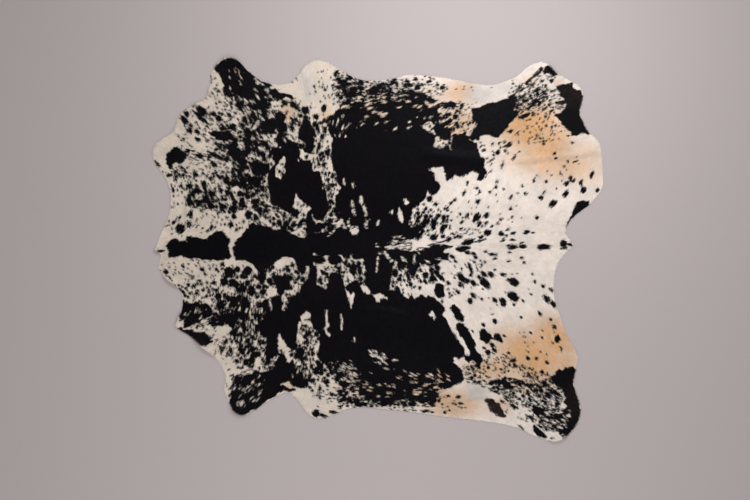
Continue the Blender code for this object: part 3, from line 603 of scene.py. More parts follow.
# The spots that show singly: x, y, length, width.
SPOTS = {
    "right cheek": (
        (-95.7, 67.5, 3.5, 2.6), (-96.7, 64.5, 5.2, 2.6), (-88.2, 68.7, 7.5, 3.6), (-88.5, 65.6, 9, 2.2),
        (-92.1, 70.9, 1.5, 1), (-93.2, 61.7, 2.8, 1.5), (-94.1, 59.4, 3.4, 2.6), (-90.9, 63, 2.2, 0.9),
        (-90.3, 58.6, 2.9, 2.2), (-87.1, 57, 2.3, 1.6), (-85.4, 61.2, 1.6, 1), (-90, 54.6, 2.8, 2.2),
        (-85.3, 53.8, 2.2, 1), (-82.2, 67.2, 3.4, 1.9), (-79.6, 64.8, 4, 2.6), (-83.3, 64.7, 1.8, 1),
        (-74.5, 67.1, 3, 1.4), (-72.3, 60.8, 4.6, 3.2), (-77.5, 61, 5.5, 1.6), (-73, 72, 4, 2),
        (-95.1, 49, 2, 1.4), (-92.2, 49, 2, 1.2), (-88.9, 46.4, 4.5, 2.6), (-82.3, 47.2, 5, 2.6),
        (-79, 45.7, 5, 2), (-82.2, 42.6, 4, 2.6), (-98.3, 40.4, 2.6, 1), (-96.5, 38.8, 3.4, 1.8),
        (-101, 38.6, 2, 2.2), (-91.3, 37.5, 4.2, 2), (-110.7, 42.6, 4.6, 1.6),
    ),
    "right neck": (
        (-100.8, 36, 2.5, 2), (-99, 36.8, 3, 1.2), (-101.2, 34.8, 2, 1.5), (-96, 36.4, 3, 0.8),
        (-104.4, 36.8, 1.6, 1.6), (-94.1, 31.4, 3, 2.8), (-97.8, 31.2, 2.2, 1), (-102.4, 29.5, 2.8, 1.8),
        (-86.8, 32.3, 3.2, 2.8), (-89.7, 28.6, 3.4, 2.2), (-92.2, 27, 4.4, 2), (-94.4, 26.2, 1.6, 1.6),
        (-94, 23, 3.6, 3), (-86, 29.5, 3.5, 2.2), (-83.6, 27.6, 4.4, 2.6), (-85.6, 24.4, 3, 2.2),
        (-82.4, 24.6, 3, 1.8), (-83.2, 21.6, 4.6, 3), (-86.6, 21.4, 2, 1.6), (-78.8, 29.1, 3, 2.4),
        (-75.4, 27.5, 3, 2), (-72.9, 26.6, 2.4, 2), (-77.6, 24.9, 2, 1.8), (-76.6, 21.3, 3, 2.6),
        (-79, 22.5, 2.5, 1.8), (-78.6, 18.6, 1.8, 1.6), (-72, 20.1, 4.6, 4.4), (-93.7, 17.7, 3.6, 2),
        (-91.4, 20.8, 1.2, 1.2), (-88, 19.1, 1.4, 1.4), (-98.9, 16, 1.8, 1.2), (-102.2, 13.2, 1.9, 1.7),
        (-98.8, 10.2, 4.8, 4.4), (-94.6, 12, 3, 1.6), (-73.3, 12.3, 2.8, 2.4), (-67.3, 13.8, 2, 1.6),
        (-85.2, 9, 1.6, 1.4), (-83, 10.7, 2.6, 1.6), (-67.6, 22, 4.2, 3.6), (-70.8, 9.4, 1.8, 1.2),
    ),
    "right withers": (
        (-61.8, 22.8, 4, 1.6), (-57.8, 22.6, 2.6, 2), (-55.4, 25.9, 1.6, 1.4), (-57.5, 29.7, 2.6, 2),
        (-61.5, 32.9, 5.5, 2.8), (-61.8, 27.8, 1.8, 1.6), (-64.6, 17, 4.4, 3.6), (-61, 15.5, 3, 2.4),
        (-58.7, 17.7, 2.6, 2.2), (-56.2, 16, 2.6, 1.4), (-49.7, 16.4, 1.4, 1.4), (-47, 16.5, 2.4, 2),
        (-49.3, 12.6, 3.6, 3), (-46, 12.6, 3.6, 3), (-42.1, 12.2, 3.2, 2.4), (-38.7, 12.8, 5.4, 2.4),
        (-56.2, 19.5, 1.6, 1.3), (-54, 19.5, 1.6, 1.3), (-34.5, 22.5, 2.8, 2.8), (-37, 21.8, 1.4, 1.4),
        (-48.8, 38.6, 1.7, 1.6), (-47.6, 37.6, 1.5, 1.3), (-65.5, 27, 3.4, 2.2), (-69, 27.2, 3, 2),
        (-72, 16.4, 3, 2),
    ),
    "right shoulder": (
        (-65.2, 64.5, 5.4, 5), (-67.6, 61.5, 3, 2.4), (-65.2, 57.8, 6.5, 4.5), (-51.7, 68.3, 3, 2.4),
        (-61.5, 53, 5, 3.4), (-64.6, 53.2, 5, 4.4), (-71, 47.6, 7.5, 6.5), (-60.3, 40.4, 8.5, 6.5),
        (-60.3, 68.9, 7.5, 6), (-55.3, 61.4, 7.5, 6.5), (-49, 65.8, 6.5, 5), (-61, 33.9, 5.5, 4.4),
        (-67.8, 34.5, 5.5, 4.6), (-59.6, 59.5, 3.6, 3.2), (-74, 35.8, 4.4, 3.6), (-60, 48.4, 4, 2.6),
        (-57.4, 52.4, 3.6, 2), (-64.6, 50.8, 3, 2.4), (-58.6, 56.4, 2.4, 1.6), (-57, 47.6, 3, 1.6),
    ),
    "right elbow": (
        (-41.8, 71.6, 6, 2.8), (-46.8, 72.8, 3, 2.4), (-36.2, 69.2, 4.4, 4.2), (-33.7, 70.7, 1.6, 1),
        (-46.7, 66.3, 2.4, 1.4), (-43.2, 65, 2.4, 1.6), (-42.8, 63, 2.4, 1.8), (-40.8, 64.5, 2.4, 1.6),
        (-43, 60.3, 4, 1.6), (-31, 66, 3, 2.6), (-31, 62, 3.4, 2.8), (-37.2, 51.8, 1.6, 1.4),
    ),
    "side channel": (
        (-35.8, 45.8, 1.8, 1.6), (-30.3, 45.3, 1.8, 1.5), (-28.7, 45, 1.6, 1.3), (-26.7, 42.3, 2.4, 1.6),
        (-26.2, 37.2, 2, 1.5), (-25, 34.5, 2.6, 2.2), (-25.2, 47.9, 3, 2.6), (-24.3, 27, 2.4, 1.6),
        (-26.8, 32.6, 1.2, 1), (-24.8, 31, 1.2, 1), (-29.4, 51, 3, 2), (-28, 55.4, 3.6, 2.4),
        (-30.6, 48.6, 2, 1.4), (-26.4, 59.4, 3.4, 2.2), (-29.6, 58.4, 2.4, 1.6), (-27, 64, 3, 1.8),
        (-22.6, 36.8, 2, 1.4), (-23.6, 23.6, 2.4, 1.6), (-21.8, 20, 2, 1.4),
    ),
    "right flank rear": (
        (66.2, 58.6, 2.6, 1.8), (65, 52, 4, 1.6), (63.6, 53.8, 1.3, 0.9), (60.5, 53, 1.5, 1.3),
        (57.3, 52.3, 1.3, 0.8), (53.2, 49.2, 1.5, 1.4), (51.5, 50.9, 1.3, 0.8), (51.3, 53.2, 1.2, 1),
        (59.8, 48.2, 2.2, 1.9), (57.7, 48.6, 1.3, 1.1), (57.5, 47, 1.2, 1), (63.5, 49, 1, 0.8),
        (64.7, 47.7, 1.2, 0.9), (67.8, 45.6, 2.8, 1.1), (70.3, 53.4, 1.3, 1), (70, 58.5, 1.5, 0.8),
        (69.8, 57.5, 1.2, 0.8), (70.6, 48.7, 1, 0.8), (62.2, 42, 1.3, 1.2), (56.2, 44.2, 2.6, 0.9),
        (54.3, 45, 0.9, 0.7), (56.2, 38.7, 1.4, 0.7), (59.2, 33.4, 2.2, 1.3), (59.1, 30.9, 1.6, 1.3),
        (51.1, 28.5, 1.5, 1.2), (49.3, 30.4, 1.1, 0.9), (44.7, 33, 1.8, 1.2), (43, 28, 2.8, 1.6),
        (62.8, 29.9, 1.2, 1.1), (56, 28.3, 1.4, 1), (66.2, 25.8, 2.2, 1.2), (72, 31.7, 1.4, 1.2),
        (73.7, 27.6, 1.6, 1.1), (69.6, 27.8, 1.1, 1), (79.4, 36.8, 1.2, 1), (78, 34.6, 2, 0.7),
        (83.9, 33.9, 1.2, 1),
    ),
    "right rump": (
        (91.2, 37.8, 1.3, 1), (92.8, 41.2, 0.9, 0.9), (94.5, 43.8, 1.2, 0.9), (98.8, 43.7, 2, 0.9),
        (88, 47.5, 1.3, 1), (88.6, 45.3, 1.2, 1.1), (97, 53, 1, 1), (95, 56.5, 1, 0.8),
        (80.9, 55.3, 1.4, 1.3), (83, 52.5, 1.2, 1.1), (82.8, 53.9, 0.9, 0.8), (86.7, 61, 1.5, 1.3),
        (84, 61.6, 1.4, 1.2), (81.8, 59.8, 1.4, 1), (86.8, 59.3, 1, 0.9), (88.5, 61.5, 1, 0.9),
        (86.5, 56.9, 1, 0.9), (79.3, 56.9, 1, 0.8), (94.3, 32.8, 2.6, 2.2), (96, 35.2, 2.4, 1.8),
        (97.7, 34, 2.4, 1.6), (101.6, 33.1, 2.8, 2), (106.8, 37, 3.4, 1.6), (102.8, 29.6, 3, 2.4),
        (109.5, 29.3, 2.2, 1.8), (93.8, 27.7, 3.8, 2.2), (50.1, 23.8, 2.6, 2.2), (66.3, 20.2, 1.7, 1.6),
        (67.2, 16, 1.6, 1.2), (83, 28.3, 2.2, 1.2), (81.2, 25.7, 2.2, 2), (87.3, 22.5, 4.2, 2.6),
        (79.4, 15.9, 1.8, 1.6),
    ),
    "right loin": (
        (44.5, 16.8, 2.6, 1.8), (49.2, 15.8, 5, 2.6), (50.5, 12.5, 3, 1.8), (54.3, 16.9, 3.2, 2.4),
        (61.3, 14.7, 2.2, 1.2), (54, 12.7, 1.6, 1.1), (57, 11.3, 1.6, 1.2), (52, 11.5, 1.8, 1.2),
        (54.8, 8.3, 3.6, 3.2), (51.5, 6, 2, 1.2), (64.7, 9.7, 2, 1), (61.5, 7.6, 2.8, 2.4),
        (67.5, 8, 2.4, 1.3), (64.3, 6.7, 1.2, 1), (74.1, 8.6, 2.8, 1.8), (77.4, 8.2, 1.4, 1),
        (62.4, 4.7, 2.2, 1.1), (67.3, 4.6, 2.2, 1.3), (38.2, 24.5, 1.8, 1.2), (36.5, 22.9, 1.8, 1.4),
        (34.6, 20.4, 2, 1.6), (25.6, 25, 3, 2.8), (28.9, 22.4, 2.2, 1.6), (23.8, 19.8, 2.2, 1.8),
        (21, 16.2, 2.4, 1.8), (26.5, 16.4, 2, 2), (30, 16.4, 2, 2), (33, 15.8, 3, 2.4),
        (24.8, 13.7, 3.6, 2.6), (27.6, 12.4, 6, 2.8), (32.4, 10.3, 5.2, 2.6), (22.5, 11.7, 3.5, 3),
        (41.8, 13.4, 1.8, 1.2), (41.3, 9.8, 1.8, 1.2), (44.3, 8.6, 1.6, 1), (37, 7.6, 1.2, 1),
        (41.2, 17.3, 1.2, 1), (25.1, 7, 2, 1.6), (27.9, 6, 4, 3), (32.5, 6, 2, 1.8), (39.5, 6, 5, 1.4),
        (35.5, 5, 3.4, 2.4), (20, 6, 4.6, 2.4),
    ),
    "back": (
        (45.2, 3.5, 6.5, 2.6), (51.3, 4.3, 4.4, 1), (67, 1.2, 6, 2), (72.2, 1.3, 3.6, 2),
        (71.5, 3, 1.8, 1.4), (82.8, 1, 6.4, 2.6), (92.8, 2.4, 3.6, 3.2), (92.4, 4, 1.6, 2),
        (95.6, 2, 2.8, 1.2), (93, 0.6, 3, 1.4), (42.5, 0.2, 6.5, 2.8), (45, -1.8, 3, 1.4),
        (57.3, -2.7, 3.8, 1.7), (37, -3.9, 3, 1.6), (38.8, -6.3, 1.8, 1.2), (32, 3.6, 14, 0.9),
        (23, -0.9, 3.4, 2.2), (58.3, -5, 1.4, 1), (49, -4.2, 2, 1.2), (47.9, -6.4, 1.6, 1),
        (71.8, -4.3, 1.8, 1), (65, -6, 1.8, 1.3), (73, -7, 1.3, 1.2), (-108.3, -1, 2.6, 1),
        (54, -1.1, 2, 1), (47.5, -2.3, 2, 1),
    ),
    "right hind": (
        (72, 75.7, 5, 1.6), (66.5, 76.2, 4.5, 1.6), (71.5, 79.3, 3, 1), (76.2, 81.7, 4.5, 1.3),
        (78.8, 79.2, 4.6, 1.8), (82.7, 78, 3.8, 1.5), (84.3, 76, 2, 1.2), (78.5, 73.5, 4, 2.4),
        (76, 71, 5, 1.8), (73.5, 73.8, 3, 1.6), (70.8, 72, 3.2, 1.4), (81.5, 75.8, 2.5, 1),
        (83.5, 70, 2.8, 1.2), (86.8, 69, 2.4, 1.4), (85.5, 72.2, 1.8, 1.2), (73, 66.5, 5.5, 2.2),
        (77.8, 67.3, 1.4, 1.2), (83.7, 66.5, 1.4, 1.2), (86.8, 84.2, 2, 1.6), (87.5, 86.5, 3.4, 1.4),
        (91, 73.3, 3.2, 1.3), (90.5, 70.5, 3.5, 1.2),
    ),
    "left loin": (
        (46.2, -9.5, 5, 1.6), (52.8, -12.6, 4, 2), (56.6, -13, 3.6, 2), (62.5, -12.8, 3, 1.6),
        (44.5, -15.8, 3, 2), (47.5, -16.8, 3.4, 2), (50.5, -14, 2.8, 2.2), (53.5, -17, 7, 3.2),
        (67.8, -16.5, 5, 3.6), (65.5, -15.8, 2.4, 1.6), (77, -12.5, 1, 1), (78.4, -16.6, 1.6, 1.1),
        (82.5, -18.6, 2, 1.5), (86.6, -20.7, 2.6, 1.2), (47.8, -23.3, 3.4, 2), (46, -26, 2.8, 2.6),
        (67.5, -23.7, 6.2, 4.2), (68.1, -27.5, 1.4, 1.4), (58.3, -25.5, 3, 1.8), (62.3, -26.5, 4.4, 3.2),
        (76.6, -22.8, 1.5, 1.2), (72.5, -26, 1.4, 1.1), (84.2, -24.8, 4.2, 2.4), (87.5, -27.6, 4.8, 2.2),
        (80.9, -32.5, 2.4, 1.8), (58.5, -36, 2.6, 2), (57, -32.5, 1, 1), (52.6, -37.9, 1.8, 1.6),
        (71.4, -34.3, 1.2, 1), (88.2, -39, 2.6, 1.6), (86.1, -35.2, 1.2, 1.2), (76.4, -41.7, 1.2, 1.2),
        (82, -44.2, 1.2, 1.1), (89.7, -44.8, 3.2, 3), (51.7, -24.9, 1.4, 1.2), (58, -10.5, 1.2, 0.8),
        (46.3, -13.3, 1.6, 1.1), (65.5, -1.8, 1.6, 0.8), (51.9, -7.8, 1.3, 1),
    ),
    "left rump": (
        (57.3, -48.2, 3, 1.8), (58.1, -50.5, 2.4, 2), (55, -51.7, 2.6, 2.2), (67.8, -55.6, 2.6, 2.2),
        (68.2, -58.3, 1.8, 1.4), (74.9, -54.8, 1.6, 1.5), (79.3, -54.8, 1.4, 1.2),
        (84.5, -56.8, 1.8, 1.4), (82, -61.5, 2, 1.4), (76.5, -64, 5, 1.2), (62.9, -43.5, 1.2, 1),
        (53, -49.3, 1.4, 1), (65.7, -57.8, 1.3, 1), (65.2, -52, 1.2, 1.2), (84, -52.5, 1.2, 1),
        (91.6, -50, 2, 0.8), (87.5, -46.8, 1.2, 0.8),
    ),
    "left hind": (
        (80.5, -68.8, 5, 2), (83.5, -67, 3, 1.4), (77, -70.5, 4, 1.4), (85.5, -72, 4, 1.6),
        (89, -72.3, 6, 2.4), (88.5, -75.5, 3, 1.4), (82.7, -75.8, 1.8, 1.4), (80, -81, 5, 3),
        (76.5, -84.2, 4, 1.2), (62, -76, 2.4, 1.2), (67.7, -78.7, 3.4, 1.6), (63.5, -71.7, 3, 1.6),
        (59, -71.3, 2.5, 1), (71.7, -89.5, 2.8, 0.9),
    ),
    "left side": (
        (17.5, -11.5, 4.4, 3.6), (23.5, -13.2, 3, 2.6), (28, -14.5, 4, 2), (26.7, -10.5, 3, 2.4),
        (8.5, -13, 2.6, 2.4), (11.2, -13.3, 1.6, 1.6), (15, -13.5, 4.5, 2), (21.2, -16.2, 1.6, 1.6),
        (23.8, -16.6, 1.6, 1.4), (13, -15.6, 1.6, 1.6), (16.3, -17.5, 3.6, 1.6), (20.8, -19.3, 1.8, 1.6),
        (30.4, -13.2, 9, 1.8), (34.7, -17, 2, 1.6), (40.2, -21.5, 2, 1.6), (41.7, -14.5, 5, 2.6),
        (44.7, -15.8, 2.6, 2.4), (41.2, -17.8, 3.6, 1.6), (47.4, -41.2, 1.3, 1.1),
        (-12.5, -10.5, 5.5, 3.6), (-9.5, -7, 2.6, 2.4), (-16.5, -7, 2, 1.4), (38.3, -14.4, 0.9, 0.9),
        (32, -26.4, 1.6, 1.4),
    ),
    "left neck": (
        (-74.3, -11.9, 5.8, 5.2), (-65.3, -11, 4.6, 4.6), (-77, -16.5, 4.2, 4), (-72.2, -17, 3.6, 3.6),
        (-88, -10, 2.6, 1.6), (-86.3, -12.5, 2, 1.2), (-77.8, -7.7, 2.4, 2), (-106, -11.5, 2.4, 2),
        (-93, -14, 3, 1.6), (-57.6, -13, 7, 3.4), (-68, -19.5, 5, 4), (-63.5, -21.5, 3.6, 3),
        (-57.5, -21.5, 3, 3), (-79, -28, 5, 4), (-72, -26, 6, 5), (-70, -45, 4, 3.6), (-73, -42, 3, 2.4),
        (-67, -50, 6, 6), (-64, -46, 5, 4), (-73.5, -51, 3, 2), (-77.8, -49.5, 2.4, 1.4),
        (-78, -51, 2, 1.4),
    ),
    "left elbow": (
        (-26, -66.5, 3, 2.4), (-32.8, -65.8, 1.8, 1.6), (-31, -82, 3.6, 3.4), (-27, -83.3, 4.5, 1.6),
        (-22, -81.7, 4, 1.4), (-23.2, -73, 1.8, 1.8), (-18.5, -71, 2.4, 1.8), (-17.5, -73.5, 2, 1.8),
        (-19, -79, 2, 1.6), (-19, -63, 5, 3), (-16, -67.5, 6, 3.6),
    ),
    "right belly": (
        (-20.9, 88.6, 2.4, 1.8), (-17.1, 82.6, 4.8, 4.2), (-14, 85.4, 3, 2.6), (-8.4, 83.3, 3.2, 2.4),
        (1, 80.8, 3.6, 2.8), (-20, 80.5, 2.6, 2), (-12.5, 79.4, 4, 3.2), (-23.4, 65.1, 3.6, 3),
        (-27.1, 70.1, 3.6, 2.6), (8, 84.4, 2.6, 2), (14.5, 83.6, 2.4, 2), (19, 85, 2.2, 1.6),
        (-4, 84.6, 2, 1.6), (25.5, 83.5, 2.4, 1.6), (32, 80.5, 2.6, 2),
    ),
    "left shoulder": (
        (-69, -31.8, 7.5, 6), (-65.3, -36.8, 8.5, 6), (-70.9, -41.8, 5, 4.4), (-39, -51.8, 6, 4.8),
        (-63.4, -21.1, 5.5, 4.4), (-61, -33, 4, 3), (-76, -46, 3, 2), (-70.3, -65.5, 5, 4.4),
        (-58, -16.5, 3.2, 2.6), (-82, -17, 2.4, 2), (-84.5, -21.4, 2.6, 2), (-92, -18.4, 2.2, 1.8),
        (-89.4, -15.6, 1.8, 1.4), (-97.4, -8.6, 1.8, 1.2),
    ),
    "left saddle": (
        (-29.6, -5.2, 6.5, 4.6), (-21.6, -5, 6.5, 6.2), (-16, -3.2, 4.5, 3.6), (-11, -3.4, 4.6, 3.6),
        (-7.8, -3.2, 4, 3), (-12, -9.5, 5, 3.4), (-14.6, -8.2, 3, 2.6), (-27.4, -11.5, 3, 2.4),
        (-28.8, -15.8, 3, 2.4), (-25.6, -14, 2, 1.6), (-19.4, -9.6, 3, 2.2),
    ),
    "left belly": (
        (35, -73.5, 2, 1.4), (40, -74, 2, 1.6), (41.3, -77.3, 2.2, 1.6), (38.3, -77.3, 2, 1),
        (26.8, -77.7, 2.4, 1.8), (24, -81, 4.5, 1.6), (27, -81.3, 1.6, 1.2), (33.5, -81.5, 1.2, 1),
    ),
}

# How dappled each part is with dark spots, painted in this order: x, y, reach along and across,
# turn in degrees, share of the hide that is spotted, and size of the largest spots.
DAPPLED = dapples(
    (-86, 48, 34, 36, 0, 0.24, 1.2), (-106, 52, 9, 16, 0, 0.03, 0.6), (-93, 78, 16, 6, 40, 0.03, 0.6),
    (-80, 82, 5, 10, 10, 0.34, 1.1), (-78, 73, 6, 5, 0, 0.25, 1.2), (-96, 63, 9, 9, 0, 0.1, 1.4),
    (-75, 66, 9, 6, 0, 0.28, 2), (-62, 74, 13, 13, -40, 0.9, 4.6), (-52, 76, 8, 5, -10, 0.5, 2.6),
    (-60, 62, 13, 11, 0, 0.55, 3), (-49, 69, 6, 8, 0, 0.2, 1.6), (-41, 72, 8, 5, 0, 0.3, 2.4),
    (-75, 53, 11, 10, 0, 0.48, 3), (-72, 44, 10, 9, 0, 0.5, 3), (-60, 50, 11, 11, 0, 0.56, 3.2),
    (-84, 46, 8, 5, 0, 0.26, 2.2), (-61, 41, 12, 8, 0, 0.55, 3.2), (-66, 33, 15, 9, 0, 0.54, 3),
    (-78, 36, 9, 6, 0, 0.5, 3), (-92, 36, 10, 5, 0, 0.22, 1.8), (-100, 38, 6, 4, 0, 0.4, 2.2),
    (-87, 26, 14, 8, 0, 0.58, 3.4), (-74, 24, 12, 9, 0, 0.56, 3.6), (-60, 24, 10, 9, 0, 0.46, 2.8),
    (-101, 24, 6, 12, 0, 0.18, 1.4), (-84, 13, 20, 6, 0, 0.2, 1.2), (-102, 12, 8, 9, 0, 0.16, 1),
    (-58, 16, 9, 5, 0, 0.5, 3), (-46, 13, 12, 6, 0, 0.56, 3.4), (-72, 12, 6, 4, 0, 0.24, 2),
    (-38, 82, 10, 12, 0, 0.06, 0.8), (-30, 76, 7, 9, 0, 0.2, 1.2), (-38, 14, 7, 8, 0, 0.3, 1.8),
    (-24, 82, 10, 10, 0, 0.22, 1.4), (-18, 85, 6, 5, -40, 0.4, 2.2), (-34, 74, 6, 5, 0, 0.12, 1),
    (-37, 64, 9, 8, 0, 0.5, 3.4), (-36, 55, 7, 9, 0, 0.66, 4), (-28, 61, 6, 8, 0, 0.4, 2.8),
    (-28, 46, 7, 11, 0, 0.42, 2.2), (-24, 30, 6, 13, 0, 0.42, 2.2), (-22, 18, 7, 9, 0, 0.5, 3),
    (-26, 10, 12, 5, 0, 0.66, 3.4), (-9, 79, 16, 8, -10, 0.72, 3), (2, 75, 30, 8, 0, 0.95, 3.6),
    (12, 82, 18, 4, 0, 0.6, 2.4), (20, 85, 12, 3, 0, 0.22, 1.4), (28, 80, 9, 5, 0, 0.32, 2),
    (43, 77, 10, 7, 0, 0.05, 1), (38, 66, 11, 10, 0, 0.66, 3.2), (46, 64, 5, 8, 0, 0.26, 1.6),
    (60, 46, 14, 9, 0, 0.07, 1.1), (56, 78, 12, 6, 0, 0.04, 0.7), (68, 80, 6, 5, 20, 0.2, 1.2),
    (78, 76, 13, 11, 0, 0.55, 2), (73, 72, 8, 6, 0, 0.62, 1.8), (82, 84, 9, 5, 30, 0.3, 1.6),
    (88, 74, 6, 8, 0, 0.3, 1.4), (80, 66, 13, 6, 0, 0.3, 1.2), (82, 58, 13, 8, 0, 0.2, 0.9),
    (-10, 17, 12, 9, 0, 0.5, 2.6), (26, 15, 14, 11, 0, 0.37, 2.4), (20, 12, 6, 8, 0, 0.55, 2.8),
    (56, 20, 24, 14, 0, 0.05, 1), (44, 8, 12, 4, 0, 0.2, 1.2), (92, 40, 14, 16, 0, 0.03, 0.8),
    (-95, -11, 22, 9, 0, 0.2, 1.2), (-105, -12, 6, 6, -40, 0.14, 1.4), (-90, -21, 15, 6, 0, 0.42, 2.4),
    (-77, -14, 8, 8, 0, 0.22, 2.2), (-69, -14, 10, 8, 0, 0.5, 3.6), (-91, -31, 10, 6, 0, 0.85, 4.2),
    (-76, -27, 9, 7, 0, 0.62, 3.6), (-80, -35, 12, 5, 0, 0.8, 4.2), (-86, -38, 9, 4, 0, 0.32, 2),
    (-66, -27, 8, 11, 0, 0.66, 3.4), (-62, -20, 9, 8, 0, 0.6, 3.4), (-54, -14, 9, 8, 0, 0.58, 3.4),
    (-46, -10, 8, 5, 0, 0.22, 2), (-66, -42, 10, 16, 0, 0.66, 3.4), (-60, -52, 8, 11, 0, 0.5, 2.2),
    (-79, -44, 9, 6, 0, 0.1, 1.2), (-76, -50, 6, 6, 0, 0.32, 2.2), (-84, -50, 6, 4, -35, 0.14, 1),
    (-73, -60, 7, 8, 0, 0.14, 1.2), (-66, -54, 8, 8, 0, 0.76, 4.4), (-68, -65, 6, 5, 0, 0.7, 3.6),
    (-66, -72, 11, 10, 0, 0.86, 4), (-61, -77, 6, 6, 0, 0.6, 1.8), (-77, -70, 3, 9, 0, 0.08, 1),
    (-38, -54, 9, 11, 0, 0.55, 2.6), (-34, -42, 8, 9, 0, 0.55, 2.4), (-39, -63, 9, 7, 0, 0.74, 4.6),
    (-29, -70, 9, 9, 0, 0.3, 2), (-33, -79, 9, 6, 0, 0.03, 0.8), (-20, -74, 8, 5, 0, 0.32, 2.2),
    (-14, -64, 8, 6, 0, 0.8, 4), (-9, -73, 15, 8, 0, 0.84, 3.2), (6, -73, 20, 8, 0, 0.95, 3.4),
    (20, -74, 16, 7, 0, 0.86, 3), (6, -80.5, 22, 2.5, 0, 0.4, 1.6), (-16, -11, 14, 9, 0, 0.42, 2.4),
    (-12, -16, 8, 6, 0, 0.34, 2.4), (-26, -15, 6, 5, 0, 0.5, 2.4), (-42, -14, 9, 9, 0, 0.5, 2.6),
    (-46, -27, 8, 7, 0, 0.45, 2.2), (-22, -62, 11, 7, -20, 0.75, 3), (33, 55, 9, 7, 0, 0.42, 2.2),
    (12, -12, 12, 9, 0, 0.56, 3.8), (24, -12, 10, 8, 0, 0.5, 3.6), (36, -16, 8, 12, 0, 0.14, 1.8),
    (48, -12, 12, 10, 0, 0.18, 1.8), (60, -20, 20, 14, 0, 0.05, 1), (38, -77, 10, 7, 0, 0.1, 1.6),
    (48, -62, 9, 7, 0, 0.5, 2), (60, -58, 14, 8, 0, 0.36, 1.4), (64, -68, 16, 5, 0, 0.72, 2.2),
    (80, -64, 13, 6, -30, 0.42, 1.4), (72, -74, 14, 7, 0, 0.5, 1.6), (84, -74, 12, 10, 0, 0.6, 2.4),
    (86, -85, 12, 8, -20, 0.8, 3.6), (76, -84, 7, 6, 0, 0.25, 1.4), (66, -82, 8, 4, -20, 0.1, 1),
    (93, -89, 7, 7, 0, 0.8, 2.4), (88, -93, 5, 3, 0, 0.2, 1), (78, -46, 18, 12, 0, 0.04, 0.9),
    (-44, 58, 4.5, 7, 0, 0.42, 1.6), (-38.5, 20, 5, 7, 0, 0.32, 1.3), (-50, 20, 7, 4, -20, 0.45, 1.6),
    (-55, 12, 8, 3, 0, 0.6, 2.2), (-48.5, 40.5, 4, 7, 0, 0.38, 1), (14, -19, 10, 5, 0, 0.3, 1.4),
    (25.5, 60.5, 4, 4, 0, 0.42, 1.2), (30, 54, 5, 5, 0, 0.3, 1.2), (-38, 9.5, 6, 5, 0, 0.45, 1.8),
    (-52, -56, 7, 9, 0, 0.6, 2.4), (-56, -40, 8, 10, 0, 0.66, 3.2),
)

# How much of the dark is broken by pale hair, in the same columns.
WINDOWED = dapples(
    (-66, 77, 13, 13, -45, 0.08, 1.2), (-60, 69, 11, 9, 0, 0.1, 1.6), (-71, 87, 6, 5, 0, 0.12, 1),
    (-50, 55, 8, 6, 0, 0.06, 1.2), (-44, 48, 8, 8, 0, 0.03, 1.2), (-73, 50, 9, 11, 0, 0.06, 1.2),
    (-72, 38, 6, 7, 0, 0.22, 1.2), (-48, 40, 3, 7, 0, 0.1, 1.2), (2, 73, 30, 7, 0, 0.11, 1.6),
    (6, 65, 26, 9, 0, 0.035, 1.5), (28, 66, 10, 8, 0, 0.08, 1.6), (-18, 62, 6, 9, 0, 0.1, 1.6),
    (12, 2, 18, 4, 0, 0.26, 1.3), (26, -6, 8, 5, 0, 0.05, 1.4), (6, -64, 28, 8, 0, 0.035, 1.4),
    (26, -65, 13, 8, -20, 0.11, 1.4), (-15, -62, 10, 7, -30, 0.12, 1.6), (0, -54, 6, 4, -20, 0.3, 1.3),
    (-68, -76, 6, 5, 0, 0.2, 1), (5, -72, 26, 6, 0, 0.09, 1.4), (-64, -70, 10, 10, -45, 0.12, 1.4),
    (-66, -40, 8, 15, 0, 0.12, 1.6), (-91, -32, 9, 5, 0, 0.06, 1.6), (-60, -30, 6, 8, 0, 0.1, 2),
    (88, -84, 11, 11, 0, 0.13, 1.3), (72, -68, 14, 4, 0, 0.1, 1.4), (-38, -60, 6, 8, 0, 0.1, 2),
)

# Where the edges of the dark fray out along the hair: x, y, reach along and across, turn in
# degrees, and how far in centimetres. The tables below have the same columns, and end with a share.
FRAYED = zones(
    (15, 1, 26, 6, 0, 0.5), (-15, -75, 22, 8, 0, 0.5), (5, -72, 30, 7, 0, 0.5), (85, -80, 14, 12, 0, 0.4),
    (72, 74, 12, 9, 0, 0.4), (40, 66, 12, 9, 0, 0.35), (10, 76, 26, 5, 0, 0.45),
    (-62, 76, 13, 12, 0, 0.4), (-48, 77, 12, 6, 0, 0.5), (-22, 12, 14, 8, 0, 0.45),
    (-24, 42, 8, 36, 0, 0.45), (-40, -14, 12, 10, 0, 0.4), (-16, -8, 16, 7, 0, 0.5),
    (-62, 45, 16, 14, 0, 0.25), (-68, -38, 16, 20, 0, 0.4), (-62, -70, 14, 11, 0, 0.4),
    (-85, -36, 15, 12, 0, 0.4), (30, 58, 12, 10, 0, 0.35), (60, -67, 22, 5, 0, 0.4),
    (-30, -62, 16, 10, 0, 0.35), (93, 66, 8, 14, 0, 0.3), (-85, 60, 18, 14, 0, 0.25),
)

# Where single dark and pale hairs mix.
MIXED = zones(
    (-85, 40, 40, 56, 0, 0.28), (-60, 60, 24, 36, 0, 0.32), (-70, -40, 40, 44, 0, 0.34),
    (-20, -75, 34, 12, 0, 0.32), (10, 78, 64, 12, 0, 0.3), (80, 75, 26, 20, 0, 0.26),
    (80, -80, 30, 20, 0, 0.3), (45, -68, 26, 14, 0, 0.28), (-30, 40, 12, 34, 0, 0.24),
    (-85, 18, 34, 16, 0, 0.34), (40, 62, 14, 12, 0, 0.28), (-85, -14, 26, 12, 0, 0.3),
)

